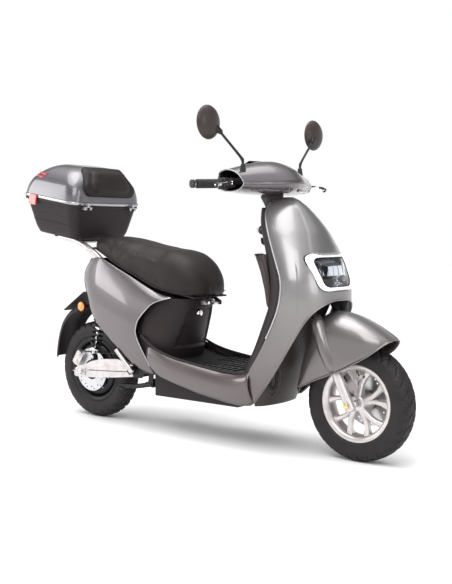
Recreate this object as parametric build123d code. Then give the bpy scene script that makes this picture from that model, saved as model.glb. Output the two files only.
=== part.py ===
from build123d import *
import os
from math import copysign, cos, radians, sin, sqrt

# Electric moped scooter. Millimetres, +Z up, +X forward, +Y to the rider's left.
# Every x below is measured ahead of the rear axle and every z above the ground;
# save() shifts the nodes so that the origin is on the ground under mid-length.

# ---- Driving dimensions ----
WHEELBASE = 1320
TYRE_RADIUS = 208           # 90/90-10 tyre
TYRE_WIDTH = 90
TREAD_FLAT = 20             # half width of the crown that the load flattens
RIM_FLANGE = 136
BEAD_RADIUS = 127           # 10 inch rim
SPOKE_WIDTH = 14
HUB_BORE_R = 17.55
TAIL_X = -276.3             # rearmost point, on the top case
NOSE_X = WHEELBASE + TYRE_RADIUS
ORIGIN_X = (TAIL_X + NOSE_X) / 2

CASTER = 26                 # steering axis lean, degrees
FORK_OFFSET = 30            # axle ahead of the steering axis
LEG_Y = 78                  # fork leg spacing from the middle
SLIDER_R = 18
STANCHION_R = 13.5
HEAD_TUBE = (560, 740)      # span along the steering axis
LOWER_CLAMP = (532, 554)
AXLE_R = 7
DISC_R = 92
DISC_THICK = 3.5
FRONT_DISC_Y = 51.5
REAR_DISC_Y = -54.0

PIVOT = (345, 235)          # swing arm pivot, x and z
ARM_Y = 92                  # inner face of each arm
SHOCK_Y = 104
SHOCK_TOP = (120, 515)
SHOCK_FOOT = (70, 276)

FLOOR_TOP = 292
RAIL_Y = 134
WALL = 4                    # body panel thickness
RUN = 0.05                  # radial clearance of a running fit
GAP = 0.5                   # clearance between the lamp, its rim and the shield

BAR_R = 11
BAR_BEND = (912, 130, 985)
BAR_END = (843, 350, 978)
MIRROR_BALL = (912, 290, 1162)
MIRROR_R = 60

CASE_HINGE = (68, 904)
CASE_TILT = 9               # nose-down tilt of the top case, degrees
SEAT_HINGE = (648, 528)
SWITCH_Y = 227              # switch housings and lever pivots


# ---- Small helpers ----
def save(name, shape):
    os.makedirs("parts", exist_ok=True)
    export_step(Pos(-ORIGIN_X, 0, 0) * shape, f"parts/{name}.step")


def block(x, y, z):
    """Box from three (low, high) pairs."""
    size = [pair[1] - pair[0] for pair in (x, y, z)]
    middle = [(pair[1] + pair[0]) / 2 for pair in (x, y, z)]
    return Pos(*middle) * Box(*size)


def rod(start, end, radius):
    start = Vector(*start)
    run = Vector(*end) - start
    place = Plane(origin=start, z_dir=run)
    return place * Cylinder(radius, run.length, align=(Align.CENTER, Align.CENTER, Align.MIN))


def across(x, z, y0, y1, radius):
    return rod((x, y0, z), (x, y1, z), radius)


def bent(points, radius):
    """Straight tubes with ball corners through the points."""
    shape = rod(points[0], points[1], radius)
    for start, end in zip(points[1:], points[2:]):
        shape += Pos(*start) * Sphere(radius)
        shape += rod(start, end, radius)
    return shape


def slab(outline, y0, y1):
    """Side outline of (x, z) points, extruded from y0 to y1."""
    face = make_face(Polyline(*[(x, y0, z) for x, z in outline], close=True))
    return extrude(face, amount=y1 - y0, dir=(0, 1, 0))


def tapered_slab(outline, half_width, draft):
    """Side outline extruded both ways from the middle, shrinking by the draft angle."""
    face = make_face(Polyline(*[(x, 0, z) for x, z in outline], close=True))
    left = extrude(face, amount=half_width, dir=(0, 1, 0), taper=draft)
    right = extrude(face, amount=half_width, dir=(0, -1, 0), taper=draft)
    return left + right


def front_slab(outline, x0, x1):
    """Front outline of (y, z) points, extruded from x0 to x1."""
    face = make_face(Polyline(*[(x0, y, z) for y, z in outline], close=True))
    return extrude(face, amount=x1 - x0, dir=(1, 0, 0))


def ribbon(points, thickness):
    """Side outline of a sheet that follows the points and lies below them."""
    lower = []
    for i, (x, z) in enumerate(points):
        ahead = points[min(i + 1, len(points) - 1)]
        behind = points[max(i - 1, 0)]
        length = sqrt((ahead[0] - behind[0]) ** 2 + (ahead[1] - behind[1]) ** 2)
        lower.append((x + thickness * (ahead[1] - behind[1]) / length,
                      z - thickness * (ahead[0] - behind[0]) / length))
    return points + lower[::-1]


def turned(profile, x, z):
    """Wheel part: (radius, y) outline turned about the axle line at x, z."""
    face = make_face(Polyline(*[(x + r, y, z) for r, y in profile], close=True))
    return revolve(face, Axis((x, 0, z), (0, 1, 0)), 360)


def ring(x, z, y0, y1, inner, outer):
    return turned([(inner, y0), (outer, y0), (outer, y1), (inner, y1)], x, z)


def mirrored(shape):
    return mirror(shape, about=Plane.XZ)


def pair(shape):
    return Compound(children=[*shape.solids(), *mirrored(shape).solids()])


def steer(t, f=0.0, y=0.0):
    """Point t up the steering axis, f ahead of it and y to the left."""
    lean = radians(CASTER)
    foot_x = WHEELBASE - FORK_OFFSET * cos(lean)
    foot_z = TYRE_RADIUS - FORK_OFFSET * sin(lean)
    return (foot_x - t * sin(lean) + f * cos(lean), y, foot_z + t * cos(lean) + f * sin(lean))


def steer_rod(t0, t1, radius, f=0.0, y=0.0):
    return rod(steer(t0, f, y), steer(t1, f, y), radius)


def steer_block(t, f, y):
    """Box in steering axes, from (low, high) pairs."""
    size = (f[1] - f[0], y[1] - y[0], t[1] - t[0])
    centre = steer((t[0] + t[1]) / 2, (f[0] + f[1]) / 2, (y[0] + y[1]) / 2)
    return Pos(*centre) * Rot(0, -CASTER, 0) * Box(*size)


def bowed(sections, grow=0.0):
    """Solid lofted through D outlines (z, edge_x, half_width, tip_x)."""
    faces = []
    for z, edge_x, half_width, tip_x in sections:
        start = -90 if tip_x > edge_x else 90
        depth = abs(tip_x - edge_x) + grow
        arc = EllipticalCenterArc((edge_x, 0), depth, half_width + grow, start, arc_size=180)
        faces.append(Pos(0, 0, z) * make_face([arc, Line(arc @ 1, arc @ 0)]))
    return loft(faces, ruled=True)


def bowed_shell(sections, wall=WALL, proud=0.0):
    """Thin bowed panel lofted through crescents; proud moves it outward."""
    faces = []
    for z, edge_x, half_width, tip_x in sections:
        start = -90 if tip_x > edge_x else 90
        depth = abs(tip_x - edge_x) + proud
        outer = EllipticalCenterArc((edge_x, 0), depth, half_width + proud, start, arc_size=180)
        inner_width = half_width + proud - wall
        inner = EllipticalCenterArc((edge_x, 0), depth - wall, inner_width, start, arc_size=180)
        edges = [outer, Line(outer @ 1, inner @ 1), inner, Line(inner @ 0, outer @ 0)]
        faces.append(Pos(0, 0, z) * make_face(edges))
    return loft(faces, ruled=True)


def side_shell(sections, wall=WALL):
    """Bulging side panel on the right; a section is x and three (y, z) points."""
    faces = []
    for x, top, middle, bottom in sections:
        outer = [Vector(x, -y, z) for y, z in (top, middle, bottom)]
        inner = [Vector(x, -(y - wall), z) for y, z in (top, middle, bottom)]
        edges = [ThreePointArc(*outer), Line(outer[2], inner[2])]
        edges += [ThreePointArc(*inner[::-1]), Line(inner[0], outer[0])]
        faces.append(make_face(edges))
    return loft(faces, ruled=True)


def crowned_box(sections, shrink=0.0):
    """Loft of rounded rectangles (z, middle_x, length, width, corner)."""
    faces = []
    for z, middle_x, length, width, corner in sections:
        outline = RectangleRounded(length - 2 * shrink, width - 2 * shrink, corner - shrink)
        faces.append(Pos(middle_x, 0, z) * outline)
    return loft(faces)


# ---- Frame ----
def main_frame():
    """Tube frame: head tube, down tube, floor rails, seat rails, pivot plates."""
    shape = steer_rod(HEAD_TUBE[0], HEAD_TUBE[1], 26) - steer_rod(540, 760, 17.5)
    spine = [
        (1012, 0, 768), (1002, 0, 692), (1009, 0, 600), (1012, 0, 480), (952, 0, 300),
        (940, 0, 262)]
    shape += bent(spine, 17) - steer_rod(540, 760, 17.5)
    shape += across(940, 255, -RAIL_Y, RAIL_Y, 13)
    shape += across(371, 320, -126, 126, 10)
    shape += across(20, 650, -66, 66, 10)
    shape += across(402, 262, -RAIL_Y, RAIL_Y, 12)
    for side in (-1, 1):
        route = [
            (940, RAIL_Y, 252), (402, RAIL_Y, 252), (300, 122, 480), (70, 84, 632), (20, 58, 650)]
        shape += bent([(x, side * y, z) for x, y, z in route], 13)
        plate = slab([(322, 214), (368, 214), (412, 262), (345, 330), (322, 300)], -3, 3)
        shape += Pos(0, side * 125, 0) * plate
        shape += Pos(0, side * 85, 0) * slab([(104, 502), (136, 502), (150, 586), (96, 622)], -4, 4)
    shape += across(*PIVOT, -131, 131, 8)
    shape += across(*SHOCK_TOP, -114, -84, 5) + across(*SHOCK_TOP, 84, 114, 5)
    return shape


# ---- Front bodywork ----
SHIELD = [
    (170, 925, 150, 1145), (240, 932, 179, 1155), (300, 955, 182, 1178), (383, 1011, 183, 1226),
    (451, 1048, 182, 1250), (514, 1079, 182, 1240), (559, 1096, 185, 1240), (606, 1103, 185, 1230),
    (643, 1099, 181, 1231), (674, 1083, 173, 1229), (737, 1049, 158, 1196), (810, 1008, 135, 1156),
    (863, 978, 110, 1108), (904, 962, 80, 1074), (932, 972, 42, 1040)]
WHEEL_ARCH = [
    (890, 100), (890, 168), (934, 168), (965, 184), (1014, 240), (1075, 324), (1150, 451),
    (1172, 492), (1194, 528), (1216, 556), (1232, 572), (1400, 572), (1400, 100)]
LAMP_OUTLINE = [(-128, 738), (-82, 600), (82, 600), (128, 738)]
LENS_OUTLINE = [(-104, 722), (-68, 615), (68, 615), (104, 722)]


def lamp_prism(outline, corner):
    solid = front_slab(outline, 1080, 1300)
    return fillet(solid.edges().filter_by(Axis.X), corner)


def front_shield():
    shape = bowed_shell(SHIELD) - slab(WHEEL_ARCH, -220, 220)
    return shape - lamp_prism(LAMP_OUTLINE, 18)


def headlight_skin(outline, corner, wall, proud):
    """Piece of the shield's own curved front, cut to the outline."""
    return bowed_shell(SHIELD[5:12], wall, proud) & lamp_prism(outline, corner)


def drawn_in(outline):
    """Lamp outline moved inward by the panel clearance."""
    middle_z = (outline[0][1] + outline[1][1]) / 2
    return [(y - copysign(GAP, y), z - copysign(GAP, z - middle_z)) for y, z in outline]


def headlight_bezel():
    return headlight_skin(drawn_in(LAMP_OUTLINE), 18, 15, 3) - lamp_prism(LENS_OUTLINE, 14)


def headlight_lens():
    return headlight_skin(drawn_in(LENS_OUTLINE), 14, 3, -1)


def headlight_unit():
    """Sloping reflector plate behind the lens, with the lamp block in front."""
    plate = slab([(1160, 702), (1190, 611), (1196, 611), (1166, 702)], -84, 84)
    plate &= front_slab([(-84, 703), (-54, 610), (54, 610), (84, 703)], 1100, 1250)
    lamp = block((1178, 1206), (-38, 38), (640, 682))
    return plate + lamp


INNER = [(296, 950, 166, 872), (383, 1006, 170, 918), (477, 1050, 171, 956), (544, 1082, 173, 982),
         (606, 1098, 176, 985), (674, 1078, 165, 975), (737, 1044, 150, 958), (815, 1000, 126, 930),
         (862, 974, 102, 916)]


def inner_shield():
    """Rider-side panel with two open pockets, lock boss and bag hook."""
    shape = bowed_shell(INNER)
    behind = bowed(INNER[1:8], -2)
    for side in (-1, 1):
        outline = [(923, 724), (1060, 732), (1060, 548), (992, 536), (948, 620)]
        hollow = [(927, 760), (1060, 760), (1060, 556), (995, 541), (953, 622)]
        middle = side * 100
        pocket = slab(outline, middle - 52, middle + 52)
        pocket -= slab(hollow, middle - 49, middle + 49)
        shape += max((pocket - behind).solids(), key=lambda solid: solid.volume)
    shape += rod((928, -45, 815), (942, -45, 815), 15)
    return shape + bent([(952, -36, 771), (918, -36, 768), (914, -36, 782)], 5)


def lower_fairing():
    """Dark panel behind the front wheel."""
    sections = [(168, 945, 128, 985), (240, 956, 140, 1022), (330, 976, 148, 1050),
                (440, 1004, 150, 1058), (520, 1030, 140, 1058)]
    shape = bowed_shell(sections)
    for side in (-1, 1):
        for z in (300, 340, 380):
            shape -= block((980, 1080), sorted((side * 88, side * 128)), (z, z + 14))
    return shape


# ---- Floor and belly ----
def side_skirts():
    sections = [
        (480, (162, 345), (172, 300), (158, 247)), (560, (162, 318), (178, 272), (150, 221)),
        (690, (162, 300), (182, 250), (144, 191)), (820, (162, 285), (184, 232), (142, 173)),
        (918, (164, 283), (184, 230), (144, 168))]
    return pair(side_shell(sections))


def floorboard():
    """Deck round the foot of the seat post, with raised grip bars."""
    level = FLOOR_TOP - 4
    outline = [
        (470, 318), (545, 294), (600, level), (868, level), (868, 278), (600, 278), (540, 283),
        (470, 307)]
    deck = slab(outline, -157, 157)
    deck -= bowed([(250, 430, 154, 534), (300, 436, 152, 532), (400, 428, 154, 570)])
    for row in range(8):
        x = 612 + 32 * row
        for y in (-104, 0, 104):
            deck += block((x, x + 14), (y - 40, y + 40), (282, FLOOR_TOP + 1.5))
    return deck


def belly_cover():
    outer = slab([(438, 152), (860, 152), (918, 172), (918, 236), (438, 236)], -119, 119)
    inner = slab([(442, 156), (859, 156), (914, 175), (914, 250), (442, 250)], -115, 115)
    return outer - inner


def battery_and_controller():
    battery = block((455, 800), (-112, 112), (157, 274))
    battery += block((560, 690), (-14, 14), (273, 278))
    controller = block((815, 905), (-80, 80), (180, 236))
    for i in range(7):
        controller += block((822 + 12 * i, 826 + 12 * i), (-76, 76), (235, 246))
    return Compound(children=[battery.solid(), controller.solid()])


# ---- Rear bodywork ----
SEAT_UNDER = [(48, 744), (100, 733), (190, 690), (263, 662), (351, 629), (428, 597), (469, 580),
              (517, 571), (582, 561), (640, 552)]


def seat_post_cover():
    sections = [(300, 438, 150, 528), (400, 430, 152, 566), (480, 440, 150, 592), (536, 470, 140, 602)]
    return bowed_shell(sections)


def rear_panels():
    sections = [
        (8, (90, 640), (98, 612), (92, 588)), (60, (108, 688), (128, 600), (122, 482)),
        (120, (118, 702), (143, 590), (140, 424)), (220, (126, 660), (156, 540), (146, 355)),
        (320, (132, 622), (167, 500), (154, 290)), (400, (134, 590), (172, 480), (160, 256)),
        (476, (134, 560), (176, 470), (160, 243)), (545, (132, 550), (177, 465), (160, 243))]
    notch = [(478, 230), (391, 372), (376, 406), (392, 453), (428, 491), (462, 523), (490, 537),
             (560, 553), (700, 553), (700, 230)]
    return pair(side_shell(sections) - slab(notch, -220, 0))


def tail_cover():
    sections = [(540, 26, 81, -36), (590, 22, 85, -52), (640, 30, 87, -46), (690, 52, 85, 4)]
    shape = bowed_shell(sections)
    shape -= block((-80, -8), (-62, 62), (586, 642))
    beak = ribbon([(-168, 462), (-110, 500), (-42, 545), (10, 552)], 5)
    return shape + slab(beak, -62, 62)


def rear_lamps():
    """Red tail lamp and the two amber side reflectors."""
    lamp = block((-56, -28), (-60, 60), (588, 640))
    lamp = fillet(lamp.edges().filter_by(Axis.X), 12)
    right = across(-16, 485, -100, -90, 22)
    left = across(-16, 485, 90, 100, 22)
    return Compound(children=[lamp.solid(), right.solid(), left.solid()])


def rear_mudguard():
    """Mudguard and plate holder behind the rear wheel."""
    line = [(-232, 250), (-216, 340), (-186, 410), (-130, 462), (-60, 494), (10, 508)]
    shape = slab(ribbon(line, 5), -66, 66)
    flank = ribbon([(-228, 262), (-211, 340), (-181, 404), (-128, 456), (-60, 488), (0, 502)], 26)
    for side in (-1, 1):
        shape += Pos(0, side * 64, 0) * slab(flank, -2, 2)
        shape += block((-26, -6), sorted((side * 64, side * 89.5)), (476, 492))
    return shape


def seat_bucket():
    """Open luggage box under the seat."""
    outside = [
        (190, 420), (240, 396), (530, 396), (545, 520), (545, 544), (430, 572), (190, 662)]
    inside = [
        (194, 422), (242, 400), (526, 400), (541, 520), (541, 560), (430, 600), (194, 700)]
    return slab(outside, -90, 90) - slab(inside, -86, 86)


def grab_rail():
    """Twin rails that rise from under the seat to the case rack."""
    shape = rod((-40, -90, 764), (-40, 90, 764), 8)
    for side in (-1, 1):
        shape += bent([(178, side * 96, 630), (150, side * 98, 660), (24, side * 98, 740),
                       (-40, side * 90, 764), (-160, side * 84, 786)], 9)
    rack = case_place(block((-255, -60), (-95, 95), (-152, -141)))
    return shape + rack


# ---- Top case, drawn level about its hinge line and then tilted ----
TUB = [(-140, -163, 248, 306, 44), (-110, -165, 272, 330, 48), (8, -180, 330, 392, 60)]
LID = [(9, -180, 340, 404, 62), (24, -180, 340, 404, 62), (80, -184, 318, 384, 70),
       (130, -190, 270, 330, 76), (163, -192, 160, 220, 66)]


def case_place(shape):
    x, z = CASE_HINGE
    return Pos(x, 0, z) * Rot(0, CASE_TILT, 0) * shape


def knuckles(y_spans):
    shape = None
    for y0, y1 in y_spans:
        piece = rod((0, y0, 2), (0, y1, 2), 6)
        shape = piece if shape is None else shape + piece
    return shape


def case_tub():
    hollow = [(z + 4, x, length, width, corner) for z, x, length, width, corner in TUB]
    shape = crowned_box(TUB) - crowned_box(hollow, 4)
    for side in (-1, 1):
        for low in (112, 140):
            span = sorted((side * low, side * (low + 12)))
            shape += block((-24, -2), span, (-6, 4)) - crowned_box(TUB, 2)
            shape += rod((0, span[0], 2), (0, span[1], 2), 6) - rod((0, -200, 2), (0, 200, 2), 3)
        shape += rod((0, side * 112, 2), (0, side * 152, 2), 3 - RUN)
        shape += block((-290, -262), sorted((side * 186, side * 200)), (-26, -18)) - crowned_box(TUB, 3)
    return case_place(shape)


def case_lid():
    inner = [(z - 4 if z > 100 else z - 1, x, l, w, c) for z, x, l, w, c in LID]
    shape = crowned_box(LID) - crowned_box(inner, 4)
    for side in (-1, 1):
        span = sorted((side * 125, side * 139))
        lug = block((-12, 4), span, (4, 20)) + rod((0, span[0], 2), (0, span[1], 2), 6)
        shape += lug - rod((0, -200, 2), (0, 200, 2), 3)
    return case_place(shape)


PAD_OUTLINE = [(-134, 46), (134, 46), (146, 70), (108, 154), (-108, 154), (-146, 70)]


def backrest_pad():
    """Padding laid over the front of the lid."""
    grown = [(z + 18, x + 10, l + 24, w, c + 8) for z, x, l, w, c in LID]
    skin = [(z + 1, x + 0.5, l + 1, w + 2, c) for z, x, l, w, c in LID]
    front = front_slab(PAD_OUTLINE, -120, 40)
    return case_place((crowned_box(grown) - crowned_box(skin)) & front)


def case_latch(side):
    """Over-centre clip that hooks the lid band down to the tub."""
    clip = block((-288, -264), (206, 211), (-28, 20)) + block((-288, -264), (201, 211), (-34, -28))
    clip += rod((-288, 208.5, 18), (-264, 208.5, 18), 3.5)
    clip = clip if side > 0 else mirrored(clip)
    return case_place(clip)


# ---- Seat ----
def plan_limit():
    """Plan outline of the seat, as a tall prism."""
    half = [(46, 80), (70, 104), (250, 124), (400, 134), (520, 134), (600, 116), (650, 76), (668, 30)]
    points = [(x, y, 500) for x, y in half] + [(x, -y, 500) for x, y in half[::-1]]
    return extrude(make_face(Polyline(*points, close=True)), amount=320, dir=(0, 0, 1))


def seat_cushion():
    top = [(652, 560), (667, 596), (652, 626), (622, 666), (588, 700), (546, 724), (506, 735),
           (436, 741), (380, 748), (249, 774), (90, 788), (62, 782), (47, 764)]
    solid = slab(SEAT_UNDER + top, -140, 140)
    return solid & plan_limit()


def seat_base():
    """Pan under the cushion with the nose hinge arms and the latch loop."""
    pan = slab(ribbon([(60, 741), *SEAT_UNDER[1:9], (628, 553.5)], 5), -102, 102)
    pan = Pos(0, 0, -0.6) * pan
    outline = [
        (600, 551), (632, 548), (656, 536), (656, 520), (640, 520), (624, 540), (600, 546)]
    for side in (-1, 1):
        arm = slab(outline, -4, 4)
        pan += Pos(0, side * 30, 0) * arm
    pan -= across(*SEAT_HINGE, -40, 40, 5 + RUN)
    return pan + bent([(150, -12, 706), (150, -12, 690), (150, 12, 690), (150, 12, 706)], 3)


def seat_hinge_pin():
    x, z = SEAT_HINGE
    arms = block((592, x - 9), (-20, 20), (519, 537)) + block((x - 12, x + 7), (-20, 20), (z - 7, z + 7))
    return across(x, z, -40, 40, 5) + arms


# ---- Steering ----
def steering_stem():
    """Steerer, lower clamp, and the two stanchions."""
    shape = steer_rod(LOWER_CLAMP[0], 868, 17.5 - RUN)
    shape += steer_block(LOWER_CLAMP, (-20, 40), (-30, 30))
    shape += steer_block(LOWER_CLAMP, (14, 44), (-LEG_Y, LEG_Y))
    for side in (-1, 1):
        shape += steer_rod(*LOWER_CLAMP, STANCHION_R + 4, FORK_OFFSET, side * LEG_Y)
        shape += steer_rod(130, LOWER_CLAMP[1] + 4, STANCHION_R, FORK_OFFSET, side * LEG_Y)
    shape += steer_block((860, 896), (-18, 24), (-26, 26))
    shape += steer_rod(HEAD_TUBE[1] + 1, HEAD_TUBE[1] + 8, 25)
    return shape - rod((912, -40, 985), (912, 40, 985), BAR_R + RUN)


def bar_point(y):
    """Middle of the handlebar at y, on the bent part."""
    (x0, y0, z0), (x1, y1, z1) = BAR_BEND, BAR_END
    share = (abs(y) - y0) / (y1 - y0)
    return (x0 + share * (x1 - x0), y, z0 + share * (z1 - z0))


def bar_sleeve(y0, y1, outer, inner=BAR_R + RUN):
    return rod(bar_point(y0), bar_point(y1), outer) - rod(bar_point(y0), bar_point(y1), inner)


def handlebar():
    shape = rod((912, -130, 985), (912, 130, 985), BAR_R)
    for side in (-1, 1):
        x, y, z = BAR_BEND
        shape += Pos(x, side * y, z) * Sphere(BAR_R)
        shape += rod((x, side * y, z), bar_point(side * 350), BAR_R)
        shape += rod(bar_point(side * 349), bar_point(side * 358), 15)
        ball = (MIRROR_BALL[0], side * MIRROR_BALL[1], MIRROR_BALL[2])
        shape += bent([(930, side * 179, 1000), (930, side * 179, 1068), ball], 4.5)
        shape += rod((930, side * 179, 1000), (930, side * 179, 1034), 8)
        shape += block((892, 940), sorted((side * 170, side * 190)), (980, 1002))
        shape += Pos(*ball) * Sphere(6.5)
    return shape


def cover_sections(shrink):
    """Handlebar cover outlines (y, centre x, centre z, x scale, z scale)."""
    ends = (915, 994, 62 - shrink, 42 - shrink)
    quarters = (925, 998, 76 - shrink, 52 - shrink)
    middle = (940, 1008, 106 - shrink, 58 - shrink)
    return [(-214, *ends), (-130, *quarters), (0, *middle), (130, *quarters), (214, *ends)]


def cover_loft(shrink):
    corners = [(-1, 0.55), (-0.35, 1), (0.5, 0.75), (1, -0.55), (0.3, -0.9), (-0.9, -0.8)]
    faces = []
    for y, x, z, wide, tall in cover_sections(shrink):
        points = [(x + u * wide, y, z + v * tall) for u, v in corners]
        faces.append(make_face(Polyline(*points, close=True)))
    return loft(faces, ruled=True)


def handlebar_cover():
    shape = cover_loft(0) - cover_loft(3) - block((700, 1200), (-230, -212), (900, 1100))
    shape -= block((700, 1200), (212, 230), (900, 1100))
    for side in (-1, 1):
        shape -= rod((930, side * 179, 990), (930, side * 179, 1080), 8.6)
    shape -= steer_rod(700, 850, 30) + steer_block((836, 884), (-20, 26), (-28, 28))
    shroud = steer_rod(776, 842, 38) - steer_rod(770, 850, 34)
    return shape + shroud


def switch_housings():
    shape = None
    for side in (-1, 1):
        sleeve = bar_sleeve(side * 215, side * 240, 21)
        x = bar_point(SWITCH_Y)[0]
        sleeve -= rod((x - 30, side * SWITCH_Y, 982), (x - 12.5, side * SWITCH_Y, 982), 5 + RUN)
        mount = block((x + 15, x + 43), sorted((side * 217, side * 237)), (968, 1000))
        mount -= block((x + 22, x + 60), sorted((side * 200, side * 250)), (978, 990))
        mount -= rod(bar_point(side * 205), bar_point(side * 250), BAR_R + RUN)
        sleeve += mount
        shape = sleeve if shape is None else shape + sleeve
    return shape


def lever_pivot(side):
    return (bar_point(SWITCH_Y)[0] + 34, side * SWITCH_Y, 984)


def brake_lever(side):
    x, y, z = lever_pivot(side)
    outline = [
        (x, y, z), (x + 6, y + side * 26, z), (x + 30, y + side * 54, z - 3),
        (940, side * 338, 972)]
    blade = bent(outline, 5) + Pos(*outline[-1]) * Sphere(9)
    hub = rod((x, y, z - 5.5), (x, y, z + 5.5), 7.5)
    return (hub + blade) - rod((x, y, z - 20), (x, y, z + 20), 3 + RUN)


def lever_pins():
    return [rod((*lever_pivot(side)[:2], 966), (*lever_pivot(side)[:2], 1002), 3) for side in (-1, 1)]


def grip(side):
    sleeve = bar_sleeve(side * 242, side * 344, 16.5)
    return sleeve + bar_sleeve(side * 242, side * 247, 21)


def mirror_head(side):
    """Round head with a domed back and a socket round the stem's ball."""
    x, y, z = MIRROR_BALL
    middle_y, middle_z = y + 37, z + 29
    rim = [(x - 24, 0), (x - 24, MIRROR_R), (x - 18, MIRROR_R), (x - 8, 50), (x, 32), (x + 6, 0)]
    outline = [(across_x, middle_y, middle_z + radius) for across_x, radius in rim]
    face = make_face(Polyline(*outline, close=True))
    head = revolve(face, Axis((x, middle_y, middle_z), (1, 0, 0)), 360)
    head += rod((x, y - 2, z), (x, middle_y - 20, middle_z - 16), 9) + Pos(x, y, z) * Sphere(11)
    head -= Pos(x, y, z) * Sphere(6.8)
    head -= rod((x, y, z), (930, 179, 1068), 8)
    head = max(head.solids(), key=lambda solid: solid.volume)
    return head if side > 0 else mirrored(head)


def button(side):
    """Push button on the rider's face of a switch housing."""
    x = bar_point(SWITCH_Y)[0]
    return rod((x - 26, side * SWITCH_Y, 982), (x - 16, side * SWITCH_Y, 982), 5)


# ---- Front wheel and fork ----
def tyre(x):
    half = TYRE_WIDTH / 2
    side = [
        (BEAD_RADIUS, 31), (137, 32), (142, 39), (160, half - 1), (176, half), (192, 41),
        (204, 30), (TYRE_RADIUS, TREAD_FLAT)]
    inner = [(198, 20), (186, 36), (160, 38), (141, 30), (134, 22), (BEAD_RADIUS, 22)]
    outline = side + [(r, -y) for r, y in side[::-1]] + [(r, -y) for r, y in inner[::-1]] + inner
    return turned(outline, x, TYRE_RADIUS)


def rim_barrel(x):
    outline = [
        (BEAD_RADIUS, 31), (RIM_FLANGE, 32), (RIM_FLANGE, 36), (121, 34), (116, 14), (116, -14),
        (121, -34), (RIM_FLANGE, -36), (RIM_FLANGE, -32), (BEAD_RADIUS, -31),
        (BEAD_RADIUS, -21), (121, -14), (121, 14), (BEAD_RADIUS, 21)]
    return turned(outline, x, TYRE_RADIUS)


def spoke(x, z, angle, lean):
    """One flat spoke, splayed from the hub out to the barrel."""
    root, tip = angle + lean * radians(9), angle + lean * radians(17)
    start = Vector(x + 30 * cos(root), z + 30 * sin(root))
    end = Vector(x + 118 * cos(tip), z + 118 * sin(tip))
    along = (end - start).normalized() * (SPOKE_WIDTH / 2)
    aside = Vector(-along.Y, along.X)
    corners = [start + aside, end + aside, end - aside, start - aside]
    return slab([(corner.X, corner.Y) for corner in corners], -15, 11)


def front_rim():
    """Five pairs of Y spokes between the hub and the barrel."""
    x, z = WHEELBASE, TYRE_RADIUS
    shape = rim_barrel(x) + ring(x, z, -30, 46, HUB_BORE_R, 33)
    for index in range(5):
        for lean in (-1, 1):
            shape += spoke(x, z, radians(90 + 72 * index), lean)
    shape -= across(x, z, -60, 60, HUB_BORE_R)
    return shape


def disc(x, y, inner):
    shape = ring(x, TYRE_RADIUS, y - DISC_THICK / 2, y + DISC_THICK / 2, inner, DISC_R)
    for index in range(12):
        angle = radians(30 * index)
        for radius, shift in ((74, 0), (83, 10)):
            turn = angle + radians(shift)
            hx, hz = x + radius * cos(turn), TYRE_RADIUS + radius * sin(turn)
            shape -= across(hx, hz, y - 5, y + 5, 3)
    return shape


def front_bearings():
    pieces = [ring(WHEELBASE, TYRE_RADIUS, y0, y0 + 11, AXLE_R + RUN, 17.5) for y0 in (-29, 34)]
    spacer = ring(WHEELBASE, TYRE_RADIUS, -17.5, 33.5, AXLE_R + RUN, 11)
    return Compound(children=[piece.solid() for piece in (*pieces, spacer)])


def fork_lowers():
    """Two bored legs, the left one with the caliper bracket."""
    legs = []
    for side in (-1, 1):
        y = side * LEG_Y
        leg = steer_rod(-22, 250, SLIDER_R, FORK_OFFSET, y)
        if side > 0:
            leg += steer_block((34, 92), (-14, 26), (62, 69))
        leg -= steer_rod(82, 260, STANCHION_R + RUN, FORK_OFFSET, y)
        leg -= across(WHEELBASE, TYRE_RADIUS, y - 30, y + 30, AXLE_R + RUN)
        legs.append(leg.solid())
    return Compound(children=legs)


def front_axle():
    """Axle with a nut, a head and the two spacers beside the hub."""
    shape = across(WHEELBASE, TYRE_RADIUS, -104, 104, AXLE_R)
    for side, thickness in ((-1, 9), (1, 7)):
        seat = Plane(origin=(WHEELBASE, side * 96.5, TYRE_RADIUS), z_dir=(0, side, 0))
        shape += extrude(seat * RegularPolygon(11, 6), amount=thickness)
    for y0, y1 in ((-59, -31), (54.5, 59)):
        shape += ring(WHEELBASE, TYRE_RADIUS, y0, y1, AXLE_R - 0.1, 12)
    return shape


FENDER = [
    (1453, 436), (1453, 444), (1405, 472), (1346, 496), (1292, 508), (1245, 506), (1200, 486),
    (1160, 440), (1122, 360), (1104, 290), (1104, 246), (1192, 283), (1265, 316), (1342, 354),
    (1406, 390)]
FENDER_HOLLOW = [
    (1444, 394), (1444, 434), (1400, 462), (1344, 484), (1290, 496), (1245, 494), (1206, 476),
    (1166, 432), (1130, 354), (1112, 284), (1112, 194), (1444, 194)]


def front_fender():
    """Helmet fender, rounded towards its sides, with a shroud round each fork leg."""
    shape = tapered_slab(FENDER, 80, 9) - slab(FENDER_HOLLOW, -66, 66)
    for side in (-1, 1):
        y = side * LEG_Y
        shape += steer_rod(150, 298, SLIDER_R + 7, FORK_OFFSET, y)
        shape -= steer_rod(100, 320, SLIDER_R + 0.6, FORK_OFFSET, y)
    return shape


def caliper(x, y, wheel_x, inner_face):
    """Fixed caliper behind the axle, slotted over the edge of its disc."""
    z = TYRE_RADIUS + 46
    outer_face = inner_face + (26 if y > 0 else -26)
    body = Pos(x, (inner_face + outer_face) / 2, z) * Rot(0, -56, 0) * Box(62, 26, 42)
    body = fillet(body.edges().filter_by(Axis.Y), 8)
    return body - across(wheel_x, TYRE_RADIUS, y - 2.4, y + 2.4, DISC_R + 2)


def front_caliper():
    shape = caliper(WHEELBASE - 68, FRONT_DISC_Y, WHEELBASE, 46.5) - fork_lowers()
    return max(shape.solids(), key=lambda solid: solid.volume)


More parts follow.
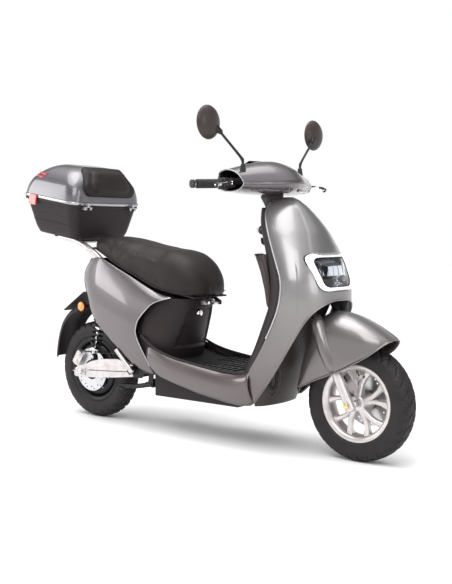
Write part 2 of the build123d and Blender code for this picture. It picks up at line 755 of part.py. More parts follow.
def front_brake_hose():
    """Hose from the fork shroud down the left leg to the caliper."""
    points = [
        steer(262, 4, 56), steer(228, -20, 59), steer(180, -40, 60), steer(132, -40, 62),
        steer(94, -30, 60)]
    return FilletPolyline(*points, radius=[60, 60, 60])


def hose(path, radius):
    section = Plane(origin=path @ 0, z_dir=path % 0) * Circle(radius)
    return sweep(section, path)


# ---- Rear wheel, swing arm and shocks ----
def rear_rim():
    """Hub motor shell inside the rim."""
    x, z = 0, TYRE_RADIUS
    shape = rim_barrel(x)
    shell = [
        (10.5, -47), (52, -47), (60, -42), (104, -34), (117, -20), (117, 20), (104, 40),
        (60, 48), (10.5, 48)]
    core = [(10.5, -30), (90, -28), (90, 28), (10.5, 30)]
    return shape + (turned(shell, x, z) - turned(core, x, z))


def swing_arm():
    """Two arms, their pivot tube, the rear axle and the shock ears."""
    x, z = PIVOT
    near = [
        (-42, 182), (-42, 222), (0, 230), (63, 257), (120, 272), (225, 281), (269, 268),
        (x, 257), (x + 18, 244), (x + 18, 226), (330, 214), (62, 186)]
    far = [
        (-30, 188), (-30, 228), (40, 236), (120, 250), (x, 256), (x + 18, 244), (x + 18, 226),
        (330, 214), (40, 188)]
    shape = slab(near, -116, -ARM_Y) + slab(far, ARM_Y, 114)
    shape += across(x, z, -116, 114, 21)
    shape -= across(x, z, -130, 130, 8 + RUN)
    shape -= across(262, 236, -130, -80, 11)
    shape += across(0, TYRE_RADIUS, -124, 122, 10)
    shape += across(0, TYRE_RADIUS, -ARM_Y - 1, -62, 16) + across(0, TYRE_RADIUS, 62, ARM_Y + 1, 16)
    shape += across(0, TYRE_RADIUS, -130, -115, 14) + across(0, TYRE_RADIUS, 113, 128, 14)
    foot_x, foot_z = SHOCK_FOOT
    outline = [
        (foot_x - 14, 232), (foot_x + 14, 232), (foot_x + 9, foot_z + 8), (foot_x - 9, foot_z + 8)]
    ears = across(foot_x, foot_z, SHOCK_Y - 11.5, SHOCK_Y + 11.5, 5)
    for y in (SHOCK_Y - 11.5, SHOCK_Y + 8.5):
        ears += slab(outline, y, y + 3)
    shape += ears + mirrored(ears)
    bracket = slab([(-64, 232), (-30, 262), (-8, 240), (-20, 205)], -ARM_Y - 2, -78)
    return shape + bracket


def rear_caliper():
    return caliper(-68, REAR_DISC_Y, 0, -49) - swing_arm()


def rear_brake_hose():
    """Hose from the caliper forward along the top of the swing arm."""
    points = [
        (-78, -72, 284), (-70, -82, 304), (-20, -87, 290), (60, -87, 293), (140, -87, 292),
        (220, -87, 300)]
    return FilletPolyline(*points, radius=[14, 30, 60, 60])


def shock_axis(share, y):
    """Point on a shock, share 0 at its foot and 1 at its top eye."""
    return (SHOCK_FOOT[0] + share * (SHOCK_TOP[0] - SHOCK_FOOT[0]), y,
            SHOCK_FOOT[1] + share * (SHOCK_TOP[1] - SHOCK_FOOT[1]))


def shock_part(kind):
    solids = []
    for side in (-1, 1):
        y = side * SHOCK_Y
        if kind == "body":
            shape = rod(shock_axis(0.46, y), shock_axis(0.96, y), 15)
            shape += rod(shock_axis(0.86, y), shock_axis(0.90, y), 26)
            shape += across(*SHOCK_TOP, y - 8, y + 8, 12)
            shape -= across(*SHOCK_TOP, y - 9, y + 9, 5 + RUN)
            shape -= rod(shock_axis(0.40, y), shock_axis(0.84, y), 6 + RUN)
        elif kind == "rod":
            shape = rod(shock_axis(0.05, y), shock_axis(0.62, y), 6)
            shape += rod(shock_axis(0.13, y), shock_axis(0.16, y), 26)
            shape += rod(shock_axis(0.06, y), shock_axis(0.15, y), 14)
            shape += across(*SHOCK_FOOT, y - 7, y + 7, 13)
            shape -= across(*SHOCK_FOOT, y - 8, y + 8, 7)
        solids += shape.solids()
    return Compound(children=solids)


def shock_springs():
    """Coil springs between the two seats of each shock."""
    coils = []
    for side in (-1, 1):
        start = Vector(*shock_axis(0.185, side * SHOCK_Y))
        end = Vector(*shock_axis(0.835, side * SHOCK_Y))
        height = (end - start).length
        helix = Helix(pitch=height / 8, height=height, radius=21)
        wire = sweep(Plane(origin=helix @ 0, z_dir=helix % 0) * Circle(3.4), helix, is_frenet=True)
        coils.append((Plane(origin=start, z_dir=end - start) * wire).solid())
    return Compound(children=coils)


# ---- Stands and footpegs ----
def side_stand():
    """Folded along the left of the belly, foot to the rear."""
    shape = bent([(560, 135, 142), (480, 150, 147), (396, 172, 152)], 8)
    shape += block((372, 412), (156, 188), (142, 150))
    shape += rod((560, 126, 142), (560, 141, 142), 13)
    return shape - rod((560, 100, 142), (560, 160, 142), 5 + RUN)


def side_stand_bracket():
    return block((545, 575), (120, 125), (129, 246)) + rod((560, 120, 142), (560, 145, 142), 5)


def centre_stand():
    """Folded back under the swing arm."""
    shape = across(408, 190, -104, 104, 13)
    for side in (-1, 1):
        y = side * 80
        shape += bent([(408, y, 190), (300, y, 170), (216, side * 84, 164)], 10)
        shape += block((200, 232), sorted((side * 72, side * 98)), (150, 158))
    shape += across(330, 172, -80, 80, 7)
    return shape - across(408, 190, -120, 120, 7 + RUN)


def centre_stand_mount():
    pin = across(408, 190, -118, 118, 7)
    for side in (-1, 1):
        pin += block((396, 420), sorted((side * 108, side * 114)), (182, 262))
    return pin


def footpeg(side):
    start = (330, 144, 246)
    peg = bent([start, (300, 150, 276), (250, 152, 324)], 8)
    hub = Plane(origin=start, z_dir=(1, 0, 1)) * Cylinder(11, 18)
    bore = Plane(origin=start, z_dir=(1, 0, 1)) * Cylinder(4 + RUN, 60)
    shape = (peg + hub) - bore
    return shape if side > 0 else mirrored(shape)


def footpeg_mounts():
    """Ear brackets and pins that carry the footpegs."""
    level = Pos(330, 144, 246) * Rot(0, 45, 0)
    mount = level * Cylinder(4, 30) + level * Pos(0, -14.5, 0) * Box(20, 3, 31)
    for way in (-1, 1):
        mount += level * Pos(0, -3, way * 13) * Box(20, 26, 5)
    return mount + mirrored(mount)


# ---- Key ----
def ignition_key():
    shape = rod((913, -45, 815), (927.5, -45, 815), 9)
    return shape + block((892, 914), (-48, -42), (806, 824))


def build():
    frame = main_frame() + side_stand_bracket() + centre_stand_mount() + footpeg_mounts()
    save("main_frame", frame)
    save("front_shield", front_shield())
    save("headlight_bezel", headlight_bezel())
    save("headlight_lens", headlight_lens())
    save("headlight_unit", headlight_unit())
    save("inner_shield", inner_shield())
    save("lower_fairing", lower_fairing())
    save("side_skirts", side_skirts())
    save("floorboard", floorboard())
    save("belly_cover", belly_cover())
    save("battery_and_controller", battery_and_controller())
    save("seat_post_cover", seat_post_cover() + seat_hinge_pin())
    save("rear_panels", rear_panels())
    save("tail_cover", tail_cover())
    save("rear_lamps", rear_lamps())
    save("rear_mudguard", rear_mudguard())
    save("seat_bucket", seat_bucket())
    save("grab_rail", grab_rail())
    save("case_tub", case_tub())
    save("case_lid", case_lid())
    save("backrest_pad", backrest_pad())
    save("seat_cushion", seat_cushion())
    save("seat_base", seat_base())
    save("steering_stem", steering_stem())
    save("handlebar", handlebar())
    save("handlebar_cover", handlebar_cover())
    housings = switch_housings()
    for pin in lever_pins():
        housings += pin
    save("switch_housings", housings)
    save("left_grip", grip(1))
    save("throttle_grip", grip(-1))
    for side, name in ((-1, "right"), (1, "left")):
        save(f"{name}_brake_lever", brake_lever(side))
        save(f"{name}_mirror", mirror_head(side))
        save(f"{name}_case_latch", case_latch(side))
        save(f"{name}_footpeg", footpeg(side))
    save("horn_button", button(1))
    save("start_button", button(-1))
    save("fork_lowers", fork_lowers())
    save("front_fender", front_fender())
    save("front_caliper", front_caliper())
    save("front_axle", front_axle())
    save("front_brake_hose", hose(front_brake_hose(), 2.5))
    save("front_tyre", tyre(WHEELBASE))
    save("front_rim", front_rim())
    save("front_disc", disc(WHEELBASE, FRONT_DISC_Y, 30))
    save("front_bearings", front_bearings())
    save("swing_arm", swing_arm())
    save("rear_caliper", rear_caliper())
    save("rear_brake_hose", hose(rear_brake_hose(), 3))
    save("rear_tyre", tyre(0))
    save("rear_rim", rear_rim())
    save("rear_disc", disc(0, REAR_DISC_Y, 42))
    save("shock_bodies", shock_part("body"))
    save("shock_rods", shock_part("rod"))
    save("shock_springs", shock_springs())
    save("side_stand", side_stand())
    save("centre_stand", centre_stand())
    save("ignition_key", ignition_key())


build()
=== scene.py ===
from math import cos, pi, radians, sin, sqrt

import bmesh
import bpy
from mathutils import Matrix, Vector


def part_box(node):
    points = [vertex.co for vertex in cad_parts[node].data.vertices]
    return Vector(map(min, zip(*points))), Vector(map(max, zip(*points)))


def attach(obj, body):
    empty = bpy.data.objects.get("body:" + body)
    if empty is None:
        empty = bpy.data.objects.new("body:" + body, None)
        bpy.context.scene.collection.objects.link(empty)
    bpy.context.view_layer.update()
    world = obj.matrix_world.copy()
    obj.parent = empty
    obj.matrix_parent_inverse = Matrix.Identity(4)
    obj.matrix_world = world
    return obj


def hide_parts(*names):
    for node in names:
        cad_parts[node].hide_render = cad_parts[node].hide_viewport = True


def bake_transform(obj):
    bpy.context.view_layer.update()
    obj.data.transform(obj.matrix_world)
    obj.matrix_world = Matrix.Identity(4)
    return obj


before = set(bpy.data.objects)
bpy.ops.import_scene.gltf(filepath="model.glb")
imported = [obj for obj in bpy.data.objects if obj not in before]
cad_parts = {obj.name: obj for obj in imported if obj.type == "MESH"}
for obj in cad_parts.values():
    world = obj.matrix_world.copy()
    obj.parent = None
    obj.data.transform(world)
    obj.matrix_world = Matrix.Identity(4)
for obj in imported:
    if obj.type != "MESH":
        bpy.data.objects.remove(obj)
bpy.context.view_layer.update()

# ---- Driving dimensions ----
# Millimetres ahead of the rear axle, left of the middle and above the ground, as in part.py.
REAR_AXLE_X = (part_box("rear_tyre")[0][0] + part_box("rear_tyre")[1][0]) / 2
WHEELBASE = 1320
TYRE_RADIUS = 208
CASTER = 26
FORK_OFFSET = 30
LEG_Y = 78
CASE_HINGE = (68, 904)
CASE_TILT = 9
BAR_BEND = (912, 130, 985)
BAR_END = (843, 350, 978)
MIRROR_BALL = (912, 290, 1162)
SHOCK_Y = 104
SHOCK_TOP = (120, 515)
SHOCK_FOOT = (70, 276)


def at(x, y, z):
    """Scene point, in metres, from the driving dimensions' millimetres."""
    return Vector((REAR_AXLE_X + x / 1000, y / 1000, z / 1000))


def steer(t, f, y):
    """Point t up the steering axis, f ahead of it and y to the left, in millimetres."""
    lean = radians(CASTER)
    foot_x = WHEELBASE - FORK_OFFSET * cos(lean)
    foot_z = TYRE_RADIUS - FORK_OFFSET * sin(lean)
    return (foot_x - t * sin(lean) + f * cos(lean), y, foot_z + t * cos(lean) + f * sin(lean))


def case_point(x, y, z):
    """Point of the top case, given level about its hinge line."""
    tilt = radians(CASE_TILT)
    along = x * cos(tilt) + z * sin(tilt)
    up = z * cos(tilt) - x * sin(tilt)
    return (CASE_HINGE[0] + along, y, CASE_HINGE[1] + up)


def bar_point(y):
    """Middle of the handlebar at y, on its bent part."""
    (x0, y0, z0), (x1, y1, z1) = BAR_BEND, BAR_END
    share = (abs(y) - y0) / (y1 - y0)
    return (x0 + share * (x1 - x0), y, z0 + share * (z1 - z0))


# ---- Smooth interpolation ----
def spaced(low, high, steps):
    """Numbers from low to high in equal steps."""
    return [low + (high - low) * i / steps for i in range(steps + 1)]


def half_turn(steps, reach=90):
    """Angles from -reach to reach degrees, in radians."""
    return [radians(angle) for angle in spaced(-reach, reach, steps)]


def full_turn(count):
    """Angles once round in radians, the last one short of the first."""
    return [2 * pi * i / count for i in range(count)]


def smooth(rows, t):
    """Smooth value at t of 0 to 1 along equally spaced rows of numbers."""
    place = min(max(t, 0.0), 1.0) * (len(rows) - 1)
    i = min(int(place), len(rows) - 2)
    u = place - i
    before, after = rows[max(i - 1, 0)], rows[min(i + 2, len(rows) - 1)]
    out = []
    for p, q, r, s in zip(before, rows[i], rows[i + 1], after):
        slope_in, slope_out = (r - p) / 2, (s - q) / 2
        out.append(q * (2 * u ** 3 - 3 * u ** 2 + 1) + slope_in * (u ** 3 - 2 * u ** 2 + u)
                   + r * (3 * u ** 2 - 2 * u ** 3) + slope_out * (u ** 3 - u ** 2))
    return out


def lookup(rows, key):
    """Straight-line value from rows whose first number rises with key."""
    if key <= rows[0][0]:
        return rows[0][1:]
    for low, high in zip(rows, rows[1:]):
        if key <= high[0]:
            share = (key - low[0]) / (high[0] - low[0])
            return [a + share * (b - a) for a, b in zip(low[1:], high[1:])]
    return rows[-1][1:]


def softened(rows, key):
    """lookup with its corners rounded by averaging round the key."""
    reach = (rows[-1][0] - rows[0][0]) / (2.2 * len(rows))
    total = [0.0] * (len(rows[0]) - 1)
    for step, weight in ((-1, 1), (-0.5, 2), (0, 3), (0.5, 2), (1, 1)):
        near = min(reach, key - rows[0][0], rows[-1][0] - key)
        values = lookup(rows, key + step * max(near, 0))
        total = [a + weight * b / 9 for a, b in zip(total, values)]
    return total


# ---- Mesh building ----
def new_object(name, mesh):
    obj = bpy.data.objects.new(name, mesh)
    bpy.context.collection.objects.link(obj)
    return obj


def mesh_object(name, points, faces):
    """Smooth-shaded mesh with doubled points merged and its faces turned outwards."""
    mesh = bpy.data.meshes.new(name)
    mesh.from_pydata([tuple(p) for p in points], [], faces)
    clean = bmesh.new()
    clean.from_mesh(mesh)
    bmesh.ops.remove_doubles(clean, verts=clean.verts, dist=1e-5)
    bmesh.ops.recalc_face_normals(clean, faces=clean.faces)
    clean.to_mesh(mesh)
    clean.free()
    for polygon in mesh.polygons:
        polygon.use_smooth = True
    return new_object(name, mesh)


def grid(name, rows, wrap=False, keep=None, caps=False):
    """Mesh over rows of millimetre points; wrap joins each row's ends."""
    width = len(rows[0])
    points = [at(*p) for row in rows for p in row]
    faces = []
    for r in range(len(rows) - 1):
        for c in range(width if wrap else width - 1):
            d = (c + 1) % width
            face = (r * width + c, r * width + d, (r + 1) * width + d, (r + 1) * width + c)
            if keep is None or keep(sum((points[i] for i in face), Vector()) / 4):
                faces.append(face)
    if caps:
        faces.append(tuple(range(width))[::-1])
        faces.append(tuple((len(rows) - 1) * width + c for c in range(width)))
    return mesh_object(name, points, faces)


def thicken(obj, thickness):
    """Thickness in millimetres, laid on the inner side when it is positive."""
    solid = obj.modifiers.new("Thickness", "SOLIDIFY")
    solid.thickness = thickness / 1000
    solid.offset = -1
    return obj


def rounded(obj, width, segments=3, angle=35):
    """Bevels edges sharper than the angle in degrees, width in millimetres."""
    bevel = obj.modifiers.new("Edges", "BEVEL")
    bevel.width = width / 1000
    bevel.segments = segments
    bevel.limit_method = "ANGLE"
    bevel.angle_limit = radians(angle)
    bevel.harden_normals = True
    return obj


def subdivided(obj):
    surface = obj.modifiers.new("Smooth", "SUBSURF")
    surface.levels = surface.render_levels = 1
    return obj


def dressed(obj, material, body, *nodes):
    """Gives a piece its material and its body, and hides the CAD nodes that it stands for."""
    obj.data.materials.append(material)
    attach(obj, body)
    if nodes:
        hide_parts(*nodes)
    return obj


def sheet(name, rows, thickness, material, body="chassis", *nodes, **options):
    """Dressed grid, thickened unless its thickness is 0."""
    obj = grid(name, rows, **options)
    if thickness:
        thicken(obj, thickness)
    return dressed(obj, material, body, *nodes)


def slab(name, front, back, edge, material, body="chassis", *nodes):
    """Dressed solid between two outlines of as many millimetre points, edges rounded."""
    n = len(front)
    faces = [tuple(range(n)), tuple(range(n, 2 * n))[::-1]]
    faces += [(i, (i + 1) % n, (i + 1) % n + n, i + n) for i in range(n)]
    obj = mesh_object(name, [at(*p) for p in front + back], faces)
    return dressed(rounded(obj, edge), material, body, *nodes)


def prism(name, outline, y_span, edge, material, body, *nodes):
    """Side outline of (x, z) points across the y span."""
    near, far = ([(x, y, z) for x, z in outline] for y in y_span)
    return slab(name, near, far, edge, material, body, *nodes)


def plate(name, outline, x, depth, edge, material):
    """Front outline of (y, z) points at x, depth thick behind."""
    front, back = ([(place, y, z) for y, z in outline] for place in (x, x - depth))
    return slab(name, front, back, edge, material)


def box(name, x, y, z, edge, material, body="chassis"):
    outline = [(x[0], z[0]), (x[1], z[0]), (x[1], z[1]), (x[0], z[1])]
    return prism(name, outline, y, edge, material, body)


def lathe(name, profile, start, direction, segments, material, body="chassis", *nodes):
    """Turned piece: (radius, distance) profile about the line from start along direction."""
    axis = Vector(direction).normalized()
    side = axis.orthogonal().normalized()
    other = axis.cross(side)
    rows = []
    for turn in full_turn(segments):
        spoke = side * cos(turn) + other * sin(turn)
        rows.append([Vector(start) + axis * along + spoke * radius for radius, along in profile])
    rows.append(rows[0])
    return sheet(name, rows, 0, material, body, *nodes)


def tube(name, points, radius, material, body="chassis", *nodes, cyclic=False):
    """Smooth bent tube along millimetre points."""
    curve = bpy.data.curves.new(name, "CURVE")
    curve.dimensions = "3D"
    curve.bevel_depth = radius / 1000
    curve.bevel_resolution = 4
    curve.use_fill_caps = True
    curve.resolution_u = 8
    spline = curve.splines.new("NURBS")
    spline.points.add(len(points) - 1)
    for knot, point in zip(spline.points, points):
        knot.co = (*at(*point), 1)
    spline.order_u = 3
    spline.use_endpoint_u = not cyclic
    spline.use_cyclic_u = cyclic
    return dressed(new_object(name, curve), material, body, *nodes)


# ---- Materials ----
class Shader:
    """A node material with a few shorthand calls."""

    def __init__(self, name, color, roughness, metallic=0.0):
        self.material = bpy.data.materials.new(name)
        self.material.use_nodes = True
        self.nodes = self.material.node_tree.nodes
        self.links = self.material.node_tree.links
        self.surface = self.nodes["Principled BSDF"]
        self.color = color
        self.set(Base_Color=(*color, 1), Roughness=roughness, Metallic=metallic)
        self.place = self.node("TexCoord").outputs["Object"]
        self.height = None

    def fill(self, node, values):
        """Sets a node's sockets, each from a value or from another node's output."""
        for name, value in values.items():
            socket = node.inputs[name.replace("_", " ")]
            if isinstance(value, bpy.types.NodeSocket):
                self.links.new(value, socket)
            else:
                socket.default_value = value

    def set(self, **values):
        self.fill(self.surface, values)
        return self

    def node(self, kind, **values):
        node = self.nodes.new("ShaderNode" + kind)
        self.fill(node, values)
        return node

    def noise(self, scale, detail=4.0, stretch=None):
        place = self.place
        if stretch:
            place = self.node("Mapping", Scale=stretch, Vector=place).outputs["Vector"]
        return self.node("TexNoise", Scale=scale, Detail=detail, Vector=place).outputs["Fac"]

    def cells(self, scale):
        return self.node("TexVoronoi", Scale=scale, Vector=self.place).outputs["Distance"]

    def ramp(self, pattern, low, high):
        """Base colour from low to high over the pattern."""
        ramp = self.node("ValToRGB", Fac=pattern)
        elements = ramp.color_ramp.elements
        elements[0].color, elements[1].color = (*low, 1), (*high, 1)
        self.set(Base_Color=ramp.outputs["Color"])
        return elements

    def tint(self, pattern, dark, light):
        """Base colour times dark to light over the pattern."""
        shades = ([channel * share for channel in self.color] for share in (dark, light))
        elements = self.ramp(pattern, *shades)
        elements[0].position, elements[1].position = 0.3, 0.7
        return self

    def fade(self, low, high, flake):
        """Painted shade: base colour from the darker low near the ground to the lighter high above,
        sparkling with the flake.
        """
        height = self.node("SeparateXYZ", Vector=self.place).outputs["Z"]
        # Painted shade: the colour climbs from the shaded low to the lit high with height.
        shade_climb = self.node("MapRange", From_Min=0.25, From_Max=0.72, Value=height)
        flake_and_shade = self.node("Math")
        flake_and_shade.operation = "MULTIPLY_ADD"
        flake_and_shade.inputs[1].default_value = 0.25
        self.links.new(flake, flake_and_shade.inputs[0])
        self.links.new(shade_climb.outputs["Result"], flake_and_shade.inputs[2])
        self.ramp(flake_and_shade.outputs["Value"], low, high)

    def polish(self, pattern, low, high):
        """Roughness from low to high over the pattern."""
        span = self.node("MapRange", To_Min=low, To_Max=high, Value=pattern)
        return self.set(Roughness=span.outputs["Result"])

    def bump(self, pattern, millimetres, strength):
        node = self.node("Bump", Distance=millimetres / 1000, Strength=strength, Height=pattern)
        if self.height:
            self.links.new(self.height, node.inputs["Normal"])
        self.height = node.outputs["Normal"]
        return self.set(Normal=self.height)


def paint(name, low, high, metallic=0.75):
    """Metallic lacquer, flake under a clear coat, with painted shade: darker low near the ground, lighter
    high up the piece.
    """
    shader = Shader(name, high, 0.3, metallic)
    flake = shader.noise(1400, 2)
    shader.fade(low, high, flake)
    shader.polish(shader.noise(6), 0.3, 0.42)
    shader.bump(flake, 0.02, 0.3)
    return shader.set(Coat_Weight=0.7, Coat_Roughness=0.09).material


def plastic(name, color, roughness, grain=900, depth=0.12):
    """Moulded plastic with a fine spark-eroded grain."""
    shader = Shader(name, color, roughness)
    shader.tint(shader.noise(5), 0.85, 1.15)
    shader.polish(shader.noise(14), roughness - 0.07, roughness + 0.07)
    shader.set(Specular_IOR_Level=0.2)
    return shader.bump(shader.noise(grain, 3), depth, 0.5).material


def metal(name, color, roughness, stretch=(1, 1, 1)):
    """Bare or plated metal with faint directional polish."""
    shader = Shader(name, color, roughness, 1.0)
    shader.tint(shader.noise(9), 0.88, 1.08)
    lines = shader.noise(420, 3, stretch)
    shader.polish(lines, roughness * 0.75, roughness * 1.3)
    return shader.bump(lines, 0.02, 0.25).material


def cast(name, color):
    """Painted cast alloy with a slightly pebbled skin."""
    shader = Shader(name, color, 0.38, 0.85)
    shader.tint(shader.noise(30), 0.85, 1.1)
    shader.polish(shader.noise(60), 0.3, 0.46)
    return shader.bump(shader.noise(500, 5), 0.08, 0.5).material


def rubber(name, color):
    """Matt rubber, mottled and finely rough."""
    shader = Shader(name, color, 0.56)
    shader.tint(shader.noise(22), 0.75, 1.4)
    shader.polish(shader.noise(40), 0.48, 0.64)
    shader.set(Specular_IOR_Level=0.3)
    return shader.bump(shader.noise(700, 5), 0.15, 0.6).material


def vinyl(name):
    """Black seat vinyl with a leather grain."""
    shader = Shader(name, (0.0165, 0.0118, 0.0122), 0.52)
    shader.tint(shader.noise(7), 0.8, 1.3)
    shader.polish(shader.noise(18), 0.46, 0.6)
    shader.bump(shader.cells(330), 0.35, 0.5)
    shader.bump(shader.noise(60, 6), 0.3, 0.3)
    return shader.set(Specular_IOR_Level=0.22).material


def glass(name, color):
    shader = Shader(name, color, 0.03)
    shader.polish(shader.noise(8), 0.03, 0.06)
    return shader.set(Transmission_Weight=1.0, IOR=1.45, Coat_Weight=0.5, Coat_Roughness=0.02).material


def reflector(name, color):
    """Moulded lens with a fine grid of prisms and a faint painted glow."""
    shader = Shader(name, color, 0.12)
    shader.tint(shader.noise(40), 0.8, 1.2)
    shader.bump(shader.cells(420), 0.6, 0.7)
    # Painted glow: a faint emission in the lens colour, also on the side reflectors and case latches, which
    # are no lamps.
    shader.set(Emission_Color=(*color, 1), Emission_Strength=0.08)
    return shader.set(Coat_Weight=1.0, Coat_Roughness=0.03).material


def lit(name, color, strength):
    """Lamp element that glows a little by itself."""
    shader = Shader(name, color, 0.2)
    shader.tint(shader.cells(160), 0.9, 1.1)
    return shader.set(Emission_Color=(*color, 1), Emission_Strength=strength).material


# Painted shade: each lacquer's first colour is the shaded one near the ground, its second the lit one above.
SILVER = paint("silver_lacquer", (0.105, 0.082, 0.083), (0.24, 0.233, 0.234))
GUNMETAL = paint("gunmetal_lacquer", (0.1, 0.078, 0.08), (0.13, 0.116, 0.124))
LID_GREY = paint("lid_lacquer", (0.12, 0.11, 0.12), (0.12, 0.115, 0.128), 0.65)
TRIM = metal("satin_trim", (0.42, 0.42, 0.44), 0.3)
SMOKED = metal("smoked_reflector", (0.2, 0.2, 0.21), 0.22)
CHROME = metal("chrome_plate", (0.78, 0.78, 0.8), 0.09)
BLACK = plastic("black_moulding", (0.02, 0.0142, 0.0152), 0.5)
GLOSS_BLACK = plastic("gloss_black", (0.013, 0.013, 0.014), 0.2, 300, 0.03)
FLOOR = plastic("floor_grip", (0.02, 0.02, 0.021), 0.55, 520, 0.3)
SHROUD = plastic("neck_shroud", (0.045, 0.034, 0.034), 0.4)
BLACK_STEEL = plastic("black_steel", (0.016, 0.016, 0.017), 0.32, 200, 0.05)
STEEL = metal("machined_steel", (0.56, 0.56, 0.57), 0.28, (1, 1, 8))
DISC = metal("disc_steel", (0.5, 0.5, 0.51), 0.24, (6, 1, 6))
CAST = cast("cast_silver", (0.6, 0.56, 0.56))
WHEEL = cast("wheel_silver", (0.6, 0.56, 0.55))
DARK_CAST = cast("cast_black", (0.03, 0.03, 0.032))
GOLD = metal("gold_bolt", (0.8, 0.58, 0.22), 0.22)
TYRE = rubber("tyre_rubber", (0.012, 0.0095, 0.0098))
GRIP = rubber("grip_rubber", (0.014, 0.014, 0.015))
VINYL = vinyl("seat_vinyl")
LENS = glass("lamp_glass", (0.75, 0.8, 0.86))
CLEAR = glass("clear_lens", (0.92, 0.93, 0.95))
MIRROR = metal("mirror_glass", (0.9, 0.91, 0.92), 0.03)
MIRROR_SHELL = plastic("mirror_shell", (0.04, 0.03, 0.029), 0.34, 60, 0.01)
RED = reflector("red_lens", (0.6, 0.02, 0.015))
AMBER = reflector("amber_lens", (0.85, 0.22, 0.01))
LAMP_RING = lit("lamp_ring", (0.86, 0.88, 0.92), 0.25)
LAMP_WHITE = lit("lamp_white", (0.82, 0.84, 0.86), 0.45)
SCREEN = plastic("screen_glass", (0.01, 0.014, 0.02), 0.12, 60, 0.01)

# ---- Leg shield and headlamp ----
# (z, x of the side edges, half width, x of the middle)
SHIELD = [
    (168, 925, 150, 1145), (240, 932, 179, 1155), (300, 955, 182, 1178), (383, 1011, 183, 1226),
    (451, 1048, 182, 1246), (514, 1079, 182, 1244), (559, 1096, 185, 1241), (606, 1103, 185, 1236),
    (643, 1099, 181, 1231), (674, 1083, 173, 1222), (737, 1049, 158, 1196), (810, 1008, 135, 1156),
    (863, 978, 110, 1112), (904, 962, 80, 1074), (926, 966, 52, 1046), (936, 988, 14, 1022)]
# (x, z) of the wheel arch's edge
ARCH = [
    (925, 168), (965, 184), (1014, 240), (1075, 324), (1152, 451), (1174, 490), (1197, 524),
    (1220, 550), (1236, 567), (1300, 582)]
SHIELD_TOP = 936
LAMP = [(-124, 730), (-104, 602), (104, 602), (124, 730)]
LAMP_Z = 666


def shield_point(z, turn, proud=0.0):
    """Point round the shield at height z, turn 0 at its middle."""
    edge, half, tip = softened(SHIELD, z)
    return (edge + (tip - edge + proud) * cos(turn), (half + proud) * sin(turn), z)


def shield_front(y, z):
    """x of the shield's outer face at y and z."""
    edge, half, tip = softened(SHIELD, z)
    return edge + (tip - edge) * sqrt(max(1 - (y / half) ** 2, 0.0))


def arch_foot(turn):
    """Lowest z of the shield at that turn: the wheel arch's edge."""
    low, high = 168.0, 575.0
    for _ in range(30):
        z = (low + high) / 2
        if lookup(ARCH, shield_point(z, turn)[0])[0] > z:
            low = z
        else:
            high = z
    return low


def rounded_outline(corners, radius, steps=6):
    """Closed outline of 2-D corners with each corner rounded."""
    outline = []
    count = len(corners)
    for i, corner in enumerate(corners):
        corner = Vector(corner)
        back = (Vector(corners[i - 1]) - corner).normalized()
        on = (Vector(corners[(i + 1) % count]) - corner).normalized()
        for step in range(steps + 1):
            t = step / steps
            p = corner + back * radius * (1 - t) ** 2 + on * radius * t ** 2
            outline.append((p.x, p.y))
    return outline


def inside(outline, y, z):
    """True if the point is inside the closed outline."""
    hit = False
    for (y0, z0), (y1, z1) in zip(outline, outline[1:] + outline[:1]):
        if (z0 > z) != (z1 > z) and y < (y1 - y0) * (z - z0) / (z1 - z0) + y0:
            hit = not hit
    return hit


def ramped(value, span):
    """0 to 1 as value goes from 0 to span."""
    return min(max(value / span, 0.0), 1.0)


def panel_rise(y, z):
    """Height of the shield's raised middle panel, eased at its edges."""
    half_width = lookup([(600, 118), (730, 100), (880, 44), (936, 30)], z)[0]
    rise = ramped(half_width - abs(y), 9)
    fade = ramped(z - 690, 60) * ramped(915 - z, 60)
    return 2.6 * fade * rise * rise * (3 - 2 * rise)


def leg_shield():
    """Silver shield with its raised middle panel, open behind the headlamp."""
    opening = rounded_outline(LAMP, 34)
    lamp_back = at(1120, 0, 0).x
    turns = half_turn(96)
    feet = [arch_foot(turn) for turn in turns]
    steps = 90
    rows = []
    for step in range(steps + 1):
        row = []
        for turn, foot in zip(turns, feet):
            z = foot + (SHIELD_TOP - foot) * step / steps
            row.append(shield_point(z, turn, panel_rise(shield_point(z, turn)[1], z)))
        rows.append(row)

    def outside_lamp(middle):
        return not inside(opening, middle.y * 1000, middle.z * 1000) or middle.x < lamp_back

    sheet("leg_shield", rows, 3.5, SILVER, "chassis", "front_shield", keep=outside_lamp)
    lip = [shield_point(foot, turn, 1.0) for turn, foot in zip(turns, feet)][2:-2:3]
    tube("wheel_arch_lip", lip, 3.0, SILVER)
    for side in (-1, 1):
        edge = [shield_point(z, side * pi / 2, 0.5) for z in range(430, 932, 22)]
        tube(f"shield_edge_{side + 1}", edge, 3.0, TRIM)


def lamp_outline(size):
    """Rounded outline of the headlamp, scaled about its middle."""
    outline = rounded_outline(LAMP, 38, 10)
    return [(y * size, LAMP_Z + (z - LAMP_Z) * size) for y, z in outline]


def lamp_ring(name, inner, outer, rise, material, *nodes):
    """Ring over the shield's face between two sizes of the lamp outline."""
    rows = []
    for share, lift in ((0, -9), (0, 0.2), (0.12, 0.8), (0.5, 1.0), (0.88, 0.8), (1, 0.2), (1, -9)):
        height = rise * lift if lift > 0 else lift
        outline = lamp_outline(outer + share * (inner - outer))
        rows.append([(shield_front(y, z) + height, y, z) for y, z in outline])
    sheet(name, rows, 0, material, "chassis", *nodes, wrap=True)


def lamp_bowl(name, size, stations, material, node):
    """Surface behind the shield's face, through (share of the size, depth) stations."""
    rows = []
    for share, depth in stations:
        rows.append([(shield_front(y, z) - depth, y, z) for y, z in lamp_outline(size * share)])
    sheet(name, rows, 0, material, "chassis", node, wrap=True)


